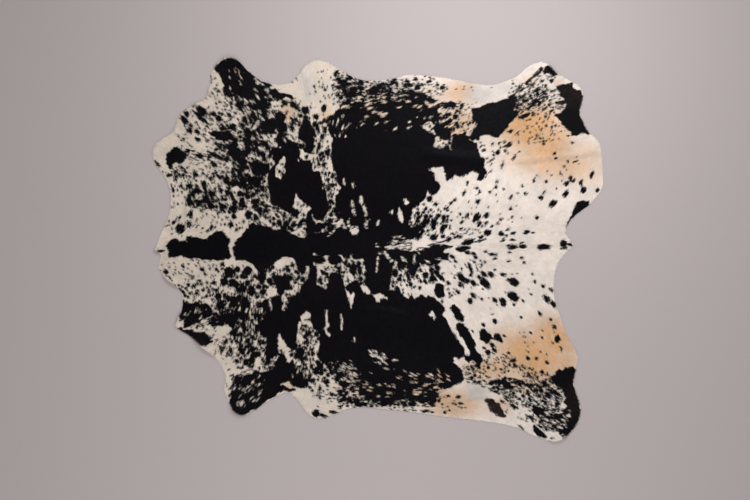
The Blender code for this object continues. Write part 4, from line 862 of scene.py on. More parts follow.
# Tan hair.
TAN = zones(
    (76, 61, 16, 12, 10, 1), (84, 52, 14, 13, 60, 0.85), (72, 58, 8, 7, 20, 0.9),
    (88, 43, 24, 9, -10, 0.62), (94, 53, 4, 11, -5, 0.55), (92, 62, 7, 7, 0, 0.6),
    (100, 46, 12, 8, 0, 0.42), (77, -54, 19, 12, -25, 0.95), (88, -45, 11, 13, 60, 0.9),
    (92, -57, 9, 9, 0, 0.7), (68, -50, 10, 9, 0, 0.45), (41, 78, 8, 6, 0, 0.6), (40, 62, 10, 9, 60, 0.5),
    (-45, 68, 4, 6, 0, 0.5), (-26, 67, 3, 6, 0, 0.45), (-44, -66, 3, 4, 0, 0.5),
    (58, -60, 15, 6, 0, 0.65), (38, -77, 14, 7, -5, 0.7), (28, -68, 9, 5, 0, 0.6),
    (10, 70, 30, 8, 0, 0.4), (8, -68, 24, 8, 0, 0.45), (-71, 87, 2, 3, 0, 0.5), (62, -78, 6, 4, 0, 0.4),
    (32, -63, 5, 5, -50, 0.6), (7.5, -60, 2, 1.5, 0, 0.6), (76, 84, 4, 3, 0, 0.3),
    (-13, 76, 4, 3, 0, 0.3), (90, 83, 3, 2, 0, 0.3), (78, -66, 16, 6, 0, 0.4),
)

# Thin hair over grey skin.
BARE = zones(
    (51, 77, 8, 4.5, 10, 0.8), (-35, 82, 4, 9, 10, 0.6), (49.8, -72.2, 5, 3.8, 0, 0.9),
    (-31, -75, 5, 6, 0, 0.4), (-22, 76, 6, 6, 0, 0.3), (62, 81, 6, 3, 0, 0.4), (5, 83, 14, 3, 0, 0.3),
)

# Brown hair in place of black.
BROWN = zones(
    (78.1, 86.9, 6, 3, 37, 1), (59.3, -79.8, 8, 5, -45, 1), (97, 77, 8, 6, 0, 0.35),
    (98, -76, 6, 10, 0, 0.3),
)

# Cream hair behind the line where the white begins.
CREAM = zones(
    (10, 78, 40, 8, 0, 0.7), (40, 60, 14, 14, 0, 0.8), (10, -78, 50, 8, 0, 0.6), (75, 55, 26, 12, 0, 0.5),
    (80, -50, 26, 16, 0, 0.5), (60, -66, 30, 8, 0, 0.6), (28, 58, 10, 9, 0, 0.8),
)


class HideSettings(bpy.types.PropertyGroup):
    """The sizes of the leather and of its mesh."""

    leather: bpy.props.FloatProperty(
        name="Leather", description="Thickness of the leather", default=2.4 * MM, unit="LENGTH"
    )
    rim_step: bpy.props.FloatProperty(
        name="Rim step", description="Spacing of points along the cut edge", default=5 * MM, unit="LENGTH"
    )
    fine_step: bpy.props.FloatProperty(
        name="Fine step", description="Spacing of points where the coat changes colour",
        default=4.4 * MM, unit="LENGTH"
    )
    plain_share: bpy.props.FloatProperty(
        name="Plain share", description="Share of those points kept inside one colour", default=0.2,
        subtype="FACTOR", min=0.05, max=1
    )
    under_step: bpy.props.FloatProperty(
        name="Underside step", description="Spacing of points where the flesh side bends most",
        default=8 * MM, unit="LENGTH"
    )
    under_share: bpy.props.FloatProperty(
        name="Underside share", description="Share of those points kept where it lies flat",
        default=0.13, subtype="FACTOR", min=0.05, max=1
    )
    swell: bpy.props.FloatProperty(
        name="Swell", description="Height of the sheet's slow waves", default=1.2 * MM, unit="LENGTH"
    )


class CoatSettings(bpy.types.PropertyGroup):
    """The locks of hair, and the colours of the coat."""

    locks: bpy.props.IntProperty(
        name="Locks", description="Locks of hair on the whole hide", default=368000, min=1000
    )
    lock_length: bpy.props.FloatProperty(
        name="Lock length", description="Middle length of a lock", default=9.5 * MM, unit="LENGTH"
    )
    lock_width: bpy.props.FloatProperty(
        name="Lock width", description="Widest part of a lock", default=2.4 * MM, unit="LENGTH"
    )
    lock_rise: bpy.props.FloatProperty(
        name="Lock rise", description="How far a lock stands off the leather", default=1.5 * MM, unit="LENGTH"
    )
    black: bpy.props.FloatVectorProperty(
        name="Black", description="Dark hair", default=(0.0020, 0.0013, 0.0026),
        subtype="COLOR", min=0, max=1
    )
    brown: bpy.props.FloatVectorProperty(
        name="Brown", description="Dark hair on the leg spots", default=(0.034, 0.018, 0.015),
        subtype="COLOR", min=0, max=1
    )
    white: bpy.props.FloatVectorProperty(
        name="White", description="Pale hair on the rump", default=(0.90, 0.82, 0.76),
        subtype="COLOR", min=0, max=1
    )
    cream: bpy.props.FloatVectorProperty(
        name="Cream", description="Pale hair on the neck and shoulders", default=(0.80, 0.71, 0.62),
        subtype="COLOR", min=0, max=1
    )
    tan: bpy.props.FloatVectorProperty(
        name="Tan", description="Reddish hair on the rump and belly", default=(0.76, 0.465, 0.23),
        subtype="COLOR", min=0, max=1
    )
    skin: bpy.props.FloatVectorProperty(
        name="Skin", description="Thin hair over grey skin", default=(0.68, 0.64, 0.62),
        subtype="COLOR", min=0, max=1
    )


class StudioSettings(bpy.types.PropertyGroup):
    """The floor, the lights and the camera."""

    floor: bpy.props.FloatVectorProperty(
        name="Floor", description="Colour of the floor", default=(0.50, 0.44, 0.44),
        subtype="COLOR", min=0, max=1
    )
    view_width: bpy.props.FloatProperty(
        name="View width", description="Width of floor in the picture", default=3.75, unit="LENGTH"
    )
    lens: bpy.props.FloatProperty(
        name="Lens", description="Focal length in millimetres", default=50.0
    )
    key_power: bpy.props.FloatProperty(
        name="Key light", description="Power of each lamp in watts", default=26.0
    )
    fill: bpy.props.FloatProperty(
        name="Fill", description="Strength of the light from all round", default=0.5
    )


SETTINGS = {"rug_hide": HideSettings, "rug_coat": CoatSettings, "rug_studio": StudioSettings}


def smooth_step(low, high, value):
    t = np.clip((value - low) / (high - low), 0, 1)
    return t * t * (3 - 2 * t)


def to_scene(x, y):
    """The tables' centimetres as metres in the scene."""
    return (x - HIDE_MIDDLE[0]) * CM, (y - HIDE_MIDDLE[1]) * CM


def to_table(x, y):
    """Metres in the scene as the tables' centimetres."""
    return x / CM + HIDE_MIDDLE[0], y / CM + HIDE_MIDDLE[1]


def smooth_line(points, pieces):
    """A smooth closed line through the points, with this many pieces between two of them."""
    before, start, end, after = (np.roll(points, shift, 0) for shift in (1, 0, -1, -2))
    t = (np.arange(pieces) / pieces)[:, None, None]
    curve = 0.5 * (
        2 * start
        + (end - before) * t
        + (2 * before - 5 * start + 4 * end - after) * t**2
        + (3 * start - before - 3 * end + after) * t**3
    )
    return curve.transpose(1, 0, 2).reshape(-1, 2)


def along_segment(x, y, run_x, run_y):
    """How far each place is along a straight run that starts at 0, 0: from 0 to 1."""
    return np.clip((x * run_x + y * run_y) / (run_x**2 + run_y**2), 0, 1)


def oval(zone, x, y):
    """Distance from the middle of a zone, 1 at its edge."""
    c, s = math.cos(math.radians(zone.turn)), math.sin(math.radians(zone.turn))
    along, across = (x - zone.x) * c + (y - zone.y) * s, (y - zone.y) * c - (x - zone.x) * s
    return np.hypot(along / zone.reach_x, across / zone.reach_y)


def lengthened(rows, count, step):
    """Rows of numbers with `count` in each, `step` for one before, smoothly between them."""
    places = np.arange(count) / step
    return np.array([np.interp(places, np.arange(rows.shape[1]), row) for row in rows])


class Canvas:
    """Fine cells over the hide. A field is an array with one number for each cell."""

    def __init__(self):
        self.columns = round((CANVAS_HIGH[0] - CANVAS_LOW[0]) / CELL)
        self.rows = round((CANVAS_HIGH[1] - CANVAS_LOW[1]) / CELL)
        self.x, self.y = np.meshgrid(
            CANVAS_LOW[0] + (np.arange(self.columns) + 0.5) * CELL,
            CANVAS_LOW[1] + (np.arange(self.rows) + 0.5) * CELL,
        )

    def place(self, x, y):
        """Column and row of a place, as fractions, kept on the canvas."""
        column = np.clip((x - CANVAS_LOW[0]) / CELL - 0.5, 0, self.columns - 1.001)
        row = np.clip((y - CANVAS_LOW[1]) / CELL - 0.5, 0, self.rows - 1.001)
        return column, row

    def read(self, field, x, y):
        """The field at these places, smoothly between its cells."""
        column, row = self.place(x, y)
        i, j = column.astype(int), row.astype(int)
        u, v = column - i, row - j
        low = field[j, i] * (1 - u) + field[j, i + 1] * u
        high = field[j + 1, i] * (1 - u) + field[j + 1, i + 1] * u
        return low * (1 - v) + high * v

    def read_one(self, field, x, y):
        """The field in the cell nearest to one place."""
        column, row = self.place(x, y)
        return field[int(row + 0.5), int(column + 0.5)]

    def window(self, x, y, reach):
        """The cells around a place, as a pair of slices."""
        column, row = int((x - reach - CANVAS_LOW[0]) / CELL), int((y - reach - CANVAS_LOW[1]) / CELL)
        size = int(2 * reach / CELL) + 2
        return slice(max(row, 0), max(row + size, 0)), slice(max(column, 0), max(column + size, 0))

    def noise(self, rng, size):
        """Smooth random numbers from -1 to 1, with lumps of this size."""
        lattice = rng.uniform(-1, 1, (int(self.rows * CELL / size) + 2, int(self.columns * CELL / size) + 2))
        column, row = np.arange(self.columns) * CELL / size, np.arange(self.rows) * CELL / size
        i, j = column.astype(int), row.astype(int)
        u = smooth_step(0, 1, column - i)
        v = smooth_step(0, 1, row - j)[:, None]
        across = lattice[:, i] * (1 - u) + lattice[:, i + 1] * u
        return across[j] * (1 - v) + across[j + 1] * v

    def clouds(self, rng, pairs):
        """The sum of some noises, from pairs of a strength and a size."""
        return sum(strength * self.noise(rng, size) for strength, size in pairs)

    def fill(self, mask, outline, value):
        """Sets the cells inside a smooth outline: a row of cells goes in or out where it crosses it."""
        line = smooth_line(np.array(outline, float), pieces=4)
        columns = (line[:, 0] - CANVAS_LOW[0]) / CELL - 0.5
        rows = (line[:, 1] - CANVAS_LOW[1]) / CELL - 0.5
        crossings = np.zeros((self.rows, self.columns + 1), int)
        for u0, v0, u1, v1 in zip(columns, rows, np.roll(columns, -1), np.roll(rows, -1)):
            crossed = np.arange(math.ceil(min(v0, v1)), math.ceil(max(v0, v1)))
            if len(crossed):
                place = np.ceil(u0 + (crossed - v0) / (v1 - v0) * (u1 - u0)).astype(int)
                crossings[crossed, np.clip(place, 0, self.columns)] += 1
        mask[np.cumsum(crossings[:, :-1], axis=1) % 2 == 1] = value

    def distance(self, mask):
        """Distance from each cell to the nearest cell of the mask, no more than REACH."""
        steps = range(1, int(REACH / CELL) + 1)
        down = np.where(mask, 0.0, REACH)
        for k in steps:
            down[k:] = np.minimum(down[k:], np.where(mask[:-k], k * CELL, REACH))
            down[:-k] = np.minimum(down[:-k], np.where(mask[k:], k * CELL, REACH))
        square = down**2
        best = square.copy()
        for k in steps:
            best[:, k:] = np.minimum(best[:, k:], square[:, :-k] + (k * CELL) ** 2)
            best[:, :-k] = np.minimum(best[:, :-k], square[:, k:] + (k * CELL) ** 2)
        return np.sqrt(np.minimum(best, REACH**2))

    def depth_inside(self, mask):
        """Distance into the mask from its edge, below 0 outside it."""
        return self.distance(~mask) - self.distance(mask)

    def lay(self):
        """The direction of the hair in each cell, as two fields, blended from the table."""
        step = round(LAY_STEP / CELL)
        x, y = self.x[::step, ::step], self.y[::step, ::step]
        sum_x, sum_y = np.zeros_like(x), np.zeros_like(x)
        for place_x, place_y, turn in LAY:
            weight = ((x - place_x) ** 2 + (y - place_y) ** 2 + LAY_BLUR**2) ** (-LAY_PULL / 2)
            sum_x += weight * math.cos(math.radians(turn))
            sum_y += weight * math.sin(math.radians(turn))
        size = np.hypot(sum_x, sum_y) + 1e-9
        return [
            lengthened(lengthened(coarse, self.columns, step).T, self.rows, step).T
            for coarse in (sum_x / size, sum_y / size)
        ]

    def comb(self, field, lay_x, lay_y, steps):
        """Smears a field along the hair, this many cells each way."""
        total = field.copy()
        for way in (1, -1):
            column = np.tile(np.arange(self.columns, dtype=float), (self.rows, 1))
            row = np.tile(np.arange(self.rows, dtype=float)[:, None], (1, self.columns))
            i, j = column.astype(int), row.astype(int)
            for _ in range(steps):
                column += way * lay_x[j, i]
                row += way * lay_y[j, i]
                i = np.clip(column + 0.5, 0, self.columns - 1).astype(int)
                j = np.clip(row + 0.5, 0, self.rows - 1).astype(int)
                total += field[j, i]
        return total / np.std(total)


class Coat:
    """The painted coat. `ink` is the distance into dark hair in centimetres, below 0 in pale hair."""

    def __init__(self):
        self.canvas = Canvas()
        self.rng = np.random.default_rng(PAINT_SEED)
        self.lay_x, self.lay_y = self.canvas.lay()
        self.ink = self.patches()
        for streak in STREAKS.values():
            self.part(streak)
        for spots in SPOTS.values():
            for spot in spots:
                self.daub(*spot, turn=self.rng.normal(0, SPOT_TURN))
        self.fray()
        self.tint()
        self.height = self.relief()

    def read(self, name, x, y):
        return self.canvas.read(getattr(self, name), x, y)

    def wandered(self, field, pairs):
        """A field with its edges moved about by random clouds."""
        move_x, move_y = (self.canvas.clouds(self.rng, pairs) for _ in range(2))
        return self.canvas.read(field, self.canvas.x + move_x, self.canvas.y + move_y)

    def patches(self):
        """The dark patches and the pale windows in them, with wandering edges."""
        dark = np.zeros_like(self.canvas.x, dtype=bool)
        for outline in DARK.values():
            self.canvas.fill(dark, outline, True)
        for outline in PALE.values():
            self.canvas.fill(dark, outline, False)
        return self.wandered(self.canvas.depth_inside(dark), OUTLINE_WANDER)

    def part(self, streak):
        """Parts the dark hair along a streak."""
        for (x0, y0), (x1, y1) in zip(streak.line, streak.line[1:]):
            run_x, run_y = x1 - x0, y1 - y0
            reach = math.hypot(run_x, run_y) / 2 + streak.half_width + STREAK_MARGIN
            near = self.canvas.window((x0 + x1) / 2, (y0 + y1) / 2, reach)
            x, y = self.canvas.x[near] - x0, self.canvas.y[near] - y0
            share = along_segment(x, y, run_x, run_y)
            away = np.hypot(x - share * run_x, y - share * run_y)
            self.ink[near] = np.minimum(self.ink[near], away - STREAK_WIDTH * streak.half_width)

    def daub(self, x, y, length, width, turn):
        """Adds one spot, with its length along the hair."""
        near = self.canvas.window(x, y, length / 2 + SPOT_MARGIN)
        lay = math.atan2(self.canvas.read_one(self.lay_y, x, y), self.canvas.read_one(self.lay_x, x, y))
        spot = Zone(x, y, length / 2, width / 2, math.degrees(lay) + turn, 1)
        inside = 1 - oval(spot, self.canvas.x[near], self.canvas.y[near])
        depth = inside * min(length, width) / 2 + SPOT_RIM
        self.ink[near] = np.maximum(self.ink[near], depth)

    def dappled(self, rows, stretch):
        """Depth into random spots, which grow and merge as their share of the hide rises."""
        canvas = self.canvas
        share, size = np.zeros_like(canvas.x), np.ones_like(canvas.x)
        for row in rows:
            soft = smooth_step(0, OVAL_EDGE, 1 - oval(row, canvas.x, canvas.y))
            share += (row.share - share) * soft
            size += (row.size - size) * soft
        share *= 1 + canvas.clouds(self.rng, SHARE_CLOUD)
        depth = np.full_like(share, -REACH)
        for spacing in SPOT_SPACINGS:
            here = share * smooth_step(*LARGE_SPOTS_FADE, size / spacing)
            here *= smooth_step(*SMALL_SPOTS_FADE, spacing / size)
            long = stretch + TICK_STRETCH / spacing**2
            depth = np.maximum(depth, self.spots(here, spacing, long))
        return depth

    def spots(self, share, spacing, stretch):
        """Depth into one net of spots. Each has a place and a size of its own in one mesh of the net."""
        canvas = self.canvas
        net = (int(canvas.rows * CELL / spacing) + 4, int(canvas.columns * CELL / spacing) + 4)
        net_x, net_y, luck = self.rng.uniform(0, 1, (3, *net))
        spotted = share > LEAST_SHARE
        lay_x, lay_y, here = self.lay_x[spotted], self.lay_y[spotted], share[spotted]
        u, v = (canvas.x[spotted] - CANVAS_LOW[0]) / spacing, (canvas.y[spotted] - CANVAS_LOW[1]) / spacing
        column, row = u.astype(int), v.astype(int)
        best = np.full_like(u, -REACH)
        for i in (0, 1, 2):
            for j in (0, 1, 2):
                mesh = (row + j, column + i)
                run_x = (u - column - i + 1 - net_x[mesh]) * spacing
                run_y = (v - row - j + 1 - net_y[mesh]) * spacing
                away = np.hypot((run_x * lay_x + run_y * lay_y) / stretch, run_y * lay_x - run_x * lay_y)
                room = 1 - luck[mesh] / (SPOT_LUCK * here)
                radius = spacing * (SPOT_RADIUS[0] + SPOT_RADIUS[1] * here)
                radius *= LUCKY_RADIUS[0] + LUCKY_RADIUS[1] * room
                best = np.maximum(best, np.where(room > 0, radius - away, -REACH))
        depth = np.full_like(share, -REACH)
        depth[spotted] = best
        return depth

    def strength(self, rows, least):
        """The strongest of the zones in each cell, and `least` outside them."""
        total = np.full_like(self.canvas.x, least)
        for zone in rows:
            share = np.clip(ZONE_EDGE * (1 - oval(zone, self.canvas.x, self.canvas.y)), 0, 1)
            total = np.maximum(total, zone.amount * share)
        return total

    def combed(self, field, steps):
        return self.canvas.comb(field, self.lay_x, self.lay_y, steps) / 2

    def fray(self):
        """Draws the edges of the dark out along the hair, and adds the dapples and stray hairs."""
        drawn = self.wandered(self.ink, HAIR_WANDER)
        self.clump = self.combed(self.canvas.noise(self.rng, CLUMP), CLUMP_COMB)
        self.hair = self.combed(self.rng.uniform(-1, 1, drawn.shape), HAIR_COMB)
        drawn += self.strength(FRAYED, LEAST_FRAY) * self.clump
        dark = np.maximum(drawn, self.dappled(DAPPLED, 1.0) + DAPPLE_FRAY * self.clump)
        pale = self.dappled(WINDOWED, WINDOW_STRETCH) + WINDOW_FRAY * self.clump
        stray = STRAY_HAIRS[0] * self.hair + STRAY_HAIRS[1] * self.hair**3
        stray = np.clip(stray, -LONGEST_STRAY, LONGEST_STRAY)
        self.ink = np.minimum(dark, -pale) + self.strength(MIXED, LEAST_MIX) * stray

    def tinged(self, rows):
        """The zones as soft clouds of colour, broken up by the clumps of hair."""
        total = np.zeros_like(self.canvas.x)
        for zone in rows:
            cloud = zone.amount * np.exp(-oval(zone, self.canvas.x, self.canvas.y) ** CLOUD_EDGE)
            total = np.maximum(total, cloud)
        return np.clip(total * (1 + CLOUD_FRAY * self.clump), 0, 1)

    def tint(self):
        """The fields that colour the hair: each runs from 0 to 1."""
        self.tan = self.tinged(TAN)
        self.bare = self.tinged(BARE)
        self.brown = self.tinged(BROWN)
        cream = np.maximum(1 - smooth_step(*CREAM_FADE, self.canvas.x), self.tinged(CREAM))
        cream += self.canvas.clouds(self.rng, CREAM_CLOUD)
        self.cream = np.clip(cream + CREAM_FRAY * self.clump, 0, 1)
        shade = 0.5 + self.canvas.clouds(self.rng, SHADE_CLOUD)
        self.shade = np.clip(shade + SHADE_FRAY * self.clump + SHADE_FRAY * self.hair, 0, 1)

    def relief(self):
        """Height of the sheet over the floor in metres, without its thickness.

        It also notes how sharply each ridge bends the sheet, as 1 over the radius in metres.
        """
        canvas = self.canvas
        height = np.zeros_like(canvas.x)
        self.bend = np.zeros_like(canvas.x)
        for ridge in RIDGES.values():
            run_x, run_y = ridge.x1 - ridge.x0, ridge.y1 - ridge.y0
            length = math.hypot(run_x, run_y)
            reach = length / 2 + ridge.half_width + abs(ridge.bow)
            near = canvas.window((ridge.x0 + ridge.x1) / 2, (ridge.y0 + ridge.y1) / 2, reach)
            x, y = canvas.x[near] - ridge.x0, canvas.y[near] - ridge.y0
            share = along_segment(x, y, run_x, run_y)
            across = (y * run_x - x * run_y) / length - ridge.bow * np.sin(np.pi * share)
            crown = 0.5 + 0.5 * np.cos(np.pi * np.clip(across / ridge.half_width, -1, 1))
            to_end = length * (0.5 - np.abs(share - 0.5))
            fade = np.sin(np.pi * share) ** RIDGE_END_FADE
            fade *= smooth_step(0, RIDGE_END * ridge.half_width, to_end)
            tallest = RIDGE_LIFT * ridge.height * MM
            height[near] = np.maximum(height[near], tallest * crown * fade)
            sharpest = tallest * (np.pi / (ridge.half_width * CM)) ** 2 / 2
            bent = np.hypot(x - share * run_x, y - share * run_y) < BEND_REACH * ridge.half_width
            self.bend[near] = np.maximum(self.bend[near], sharpest * bent)
        slow = canvas.clouds(self.rng, SWELL_CLOUD)
        return height + bpy.context.scene.rug_hide.swell * (0.5 + 0.5 * slow)


@functools.cache
def painted_coat():
    return Coat()


@functools.cache
def cut_edge():
    """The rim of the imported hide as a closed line, in metres, with a point at each rim step."""
    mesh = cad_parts[NODE].data
    mesh.calc_loop_triangles()
    places = np.empty(len(mesh.vertices) * 3)
    mesh.vertices.foreach_get("co", places)
    corners = np.empty(len(mesh.loop_triangles) * 3, int)
    mesh.loop_triangles.foreach_get("vertices", corners)
    places, merged = np.unique(np.round(places.reshape(-1, 3), 6), axis=0, return_inverse=True)
    triangles = merged.reshape(-1)[corners].reshape(-1, 3)
    a, b, c = (places[triangles[:, k]] for k in range(3))
    normals = np.cross(b - a, c - a)
    upper = triangles[normals[:, 2] > UPWARD * np.linalg.norm(normals, axis=1)]
    edges = np.concatenate([upper[:, [0, 1]], upper[:, [1, 2]], upper[:, [2, 0]]])
    whole = {tuple(edge) for edge in edges.tolist()}
    following = {start: end for start, end in whole if (end, start) not in whole}
    ring = [min(following)]
    while following[ring[-1]] != ring[0]:
        ring.append(following[ring[-1]])
    if len(ring) != len(following):
        raise RuntimeError("the packed hide's rim is not one closed line")
    line = places[ring, :2]
    gap = np.linalg.norm(line - np.roll(line, -1, 0), axis=1).mean()
    return smooth_line(line, pieces=round(gap / bpy.context.scene.rug_hide.rim_step))


@functools.cache
def rim_depth():
    """Distance inside the rim in each cell of the canvas, in centimetres, below 0 outside it."""
    canvas = painted_coat().canvas
    mask = np.zeros_like(canvas.x, dtype=bool)
    canvas.fill(mask, np.stack(to_table(*cut_edge().T), axis=1)[::4], True)
    return canvas.depth_inside(mask)


def scattered(rng, low, high, step, spread=0.8):
    """Places on an even grid over a box, each moved at random by a share of the step."""
    x, y = np.meshgrid(np.arange(low[0], high[0], step), np.arange(low[1], high[1], step))
    move = rng.uniform(-spread / 2, spread / 2, (2, *x.shape)) * step
    return (x + move[0]).ravel() + step / 2, (y + move[1]).ravel() + step / 2


def mesh_of(name, points, triangles):
    """A mesh of triangles, from arrays."""
    mesh = bpy.data.meshes.new(name)
    mesh.vertices.add(len(points))
    mesh.vertices.foreach_set("co", points.ravel())
    mesh.loops.add(3 * len(triangles))
    mesh.loops.foreach_set("vertex_index", triangles.ravel())
    mesh.polygons.add(len(triangles))
    mesh.polygons.foreach_set("loop_start", np.arange(0, 3 * len(triangles), 3))
    mesh.update(calc_edges=True)
    return mesh


def set_map(mesh, name, places):
    """A UV map from one place for each vertex."""
    corners = np.empty(len(mesh.loops), int)
    mesh.loops.foreach_get("vertex_index", corners)
    mesh.uv_layers.new(name=name).data.foreach_set("uv", places[corners].ravel())


def set_fields(mesh, values):
    """Stores the coat's fields on a mesh, one number for each vertex."""
    for name in COAT_FIELDS:
        mesh.attributes.new(name, "FLOAT", "POINT").data.foreach_set("value", values[name])


def add_piece(name, mesh, materials):
    """Puts a mesh in the scene as a piece of the rug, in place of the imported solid."""
    for material in materials:
        mesh.materials.append(material)
    piece = bpy.data.objects.new(name, mesh)
    bpy.context.scene.collection.objects.link(piece)
    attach(piece, BODY)
    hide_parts(NODE)
    return piece


def triangulated(points, rim_count):
    """A flat mesh over the points, inside the rim that the first of them make."""
    rim = [(k, (k + 1) % rim_count) for k in range(rim_count)]
    only_inside, nearest = 1, 1e-7
    flat, _, triangles, *_ = delaunay_2d_cdt([Vector(p) for p in points], rim, [], only_inside, nearest)
    return np.array(flat), np.array(triangles)


def hide_points(step, flat_share, slack, follows_colour):
    """The rim, and scattered points inside it, in metres. They are dense where the sheet bends."""
    coat = painted_coat()
    rim = cut_edge()
    x, y = scattered(np.random.default_rng(POINT_SEED), rim.min(0), rim.max(0), step)
    place = to_table(x, y)
    share = flat_share + coat.read("bend", *place) * step**2 / (8 * slack)
    if follows_colour:
        share += np.abs(coat.read("ink", *place)) < COLOUR_EDGE
    depth = coat.canvas.read(rim_depth(), *place) * CM
    luck = np.random.default_rng(THINNING_SEED).uniform(0, 1, x.shape)
    wanted = (depth > RIM_CLEARANCE * step) & (luck < share)
    return np.concatenate([rim, np.stack([x[wanted], y[wanted]], axis=1)]), len(rim)


def hide_map(points, top_count):
    """The hair side fills most of the map, and the flesh side is small, in the strip above it."""
    places = (points[:, :2] - points[:, :2].min(0)) / np.ptp(points[:, 0])
    places[top_count:] = places[top_count:] * FLESH_MAP_SCALE + FLESH_MAP_CORNER
    return places


def make_hide():
    """The leather as one closed sheet: its hair side, its flesh side and its cut edge."""
    sizes = bpy.context.scene.rug_hide
    coat = painted_coat()
    top_points, rim_count = hide_points(sizes.fine_step, sizes.plain_share, TOP_SLACK, True)
    under_points, _ = hide_points(sizes.under_step, sizes.under_share, UNDER_SLACK, False)
    top, top_faces = triangulated(top_points, rim_count)
    under, under_faces = triangulated(under_points, rim_count)
    top_height = coat.read("height", *to_table(*top.T)) + sizes.leather
    under_height = coat.read("height", *to_table(*under.T)) + FLOOR_GAP
    points = np.concatenate([
        np.column_stack([top, top_height]),
        np.column_stack([under, under_height]),
    ])
    here = np.arange(rim_count)
    after = np.roll(here, -1)
    edge_faces = np.concatenate([
        np.column_stack([here + len(top), after + len(top), after]),
        np.column_stack([here + len(top), after, here]),
    ])
    faces = np.concatenate([top_faces, under_faces[:, ::-1] + len(top), edge_faces])
    mesh = mesh_of("hide_leather", points, faces)
    counts = (len(top_faces), len(under_faces), len(edge_faces))
    mesh.polygons.foreach_set("material_index", np.repeat((0, 1, 2), counts))
    mesh.set_sharp_from_angle(angle=math.radians(SHARP_ANGLE))
    place = to_table(*points[:, :2].T)
    set_fields(mesh, {name: coat.read(name, *place) for name in COAT_FIELDS})
    set_map(mesh, "OFBake", hide_map(points, len(top)))
    materials = [coat_material("coat_roots", False), flesh_material(), edge_material()]
    return add_piece("hide_leather", mesh, materials)


def lock_points(rng, root, turn):
    """The corners of each lock in metres: its root, one side, its tip and its other side."""
    sizes = bpy.context.scene.rug_coat
    count = len(root)
    length = (sizes.lock_length * rng.uniform(*LOCK_LENGTHS, count))[:, None]
    width = (sizes.lock_width * rng.uniform(*LOCK_WIDTHS, count))[:, None]
    along = np.stack([np.cos(turn), np.sin(turn)], axis=1)
    across = np.stack([-along[:, 1], along[:, 0]], axis=1)
    widest = root + along * length * rng.uniform(*WIDEST_PLACE, count)[:, None]
    tip = root + along * length + across * rng.normal(0, TIP_SWAY, count)[:, None] * length
    side = across * width / 2
    flat = np.stack([root, widest - side, tip, widest + side], axis=1)
    ground = painted_coat().read("height", *to_table(*flat.reshape(-1, 2).T)).reshape(-1, 4)
    ground += bpy.context.scene.rug_hide.leather
    rise = sizes.lock_rise * rng.uniform(*LOCK_RISES, count)
    roll = rng.normal(0, LOCK_ROLL, count)
    tip_rise = rise * rng.uniform(*TIP_RISES, count)
    off = np.stack([np.full(count, -ROOT_DEPTH), rise - roll, tip_rise, rise + roll], axis=1)
    points = np.concatenate([flat, (ground + off)[:, :, None]], axis=2).reshape(-1, 3)
    return points, root + along * length / 2


def make_coat_part(name, low, high, seed):
    """The locks of hair on one quarter of the hide. Each is a slim kite that lies along the hair."""
    coat = painted_coat()
    rng = np.random.default_rng(seed)
    area = np.sum(rim_depth() > 0) * (CELL * CM) ** 2
    spacing = math.sqrt(area / bpy.context.scene.rug_coat.locks)
    x, y = scattered(rng, low, high, spacing, LOCK_SPREAD)
    inside = coat.canvas.read(rim_depth(), *to_table(x, y)) > 0
    root = np.stack([x[inside], y[inside]], axis=1)
    count = len(root)
    place = to_table(*root.T)
    turn = np.arctan2(coat.read("lay_y", *place), coat.read("lay_x", *place))
    turn += rng.normal(0, LOCK_TURN, count) + CLUMP_TURN * coat.read("clump", *place)
    points, halfway = lock_points(rng, root, turn)
    corners = np.arange(count)[:, None] * 4
    faces = np.concatenate([corners + (0, 1, 3), corners + (1, 2, 3)])
    mesh = mesh_of(name, points, faces)
    place = to_table(*halfway.T)
    values = {field: np.repeat(coat.read(field, *place), 4) for field in COAT_FIELDS}
    for field in ("ink", "shade"):
        values[field] += np.repeat(rng.normal(0, LOCK_CHANGE, count), 4)
    set_fields(mesh, values)
    set_map(mesh, "OFBake", (points[:, :2] - points[:, :2].min(0)) / np.ptp(points[:, :2], axis=0).max())
    strand = np.tile([(0.5, 0.0), (1.0, 0.5), (0.5, 1.0), (0.0, 0.5)], (count, 1))
    strand += np.repeat(rng.uniform(0, STRANDS, (count, 2)).round(), 4, axis=0)
    set_map(mesh, "Strand", strand)
    return add_piece(name, mesh, [coat_material("coat_hair", True)])


def make_coat():
    """The coat in four quarters, which meet along the back and behind the shoulders."""
    parts = []
    for seed, (name, sides) in enumerate(COAT_PARTS.items(), start=FIRST_LOCK_SEED):
        low = np.minimum(sides, 0) * COAT_REACH
        parts.append(make_coat_part(name, low, low + COAT_REACH, seed))
    return parts


class Value:
    """A number in a material that takes part in sums, so that a formula reads as one."""

    def __init__(self, shader, socket):
        self.shader, self.socket = shader, socket

    def sum(self, operation, *numbers):
        return self.shader.number("Math", {"operation": operation}, dict(enumerate(numbers)))

    def __add__(self, other):
        return self.sum("ADD", self, other)

    __radd__ = __add__

    def __sub__(self, other):
        return self.sum("SUBTRACT", self, other)

    def __rsub__(self, other):
        return self.sum("SUBTRACT", other, self)

    def __mul__(self, other):
        return self.sum("MULTIPLY", self, other)

    __rmul__ = __mul__


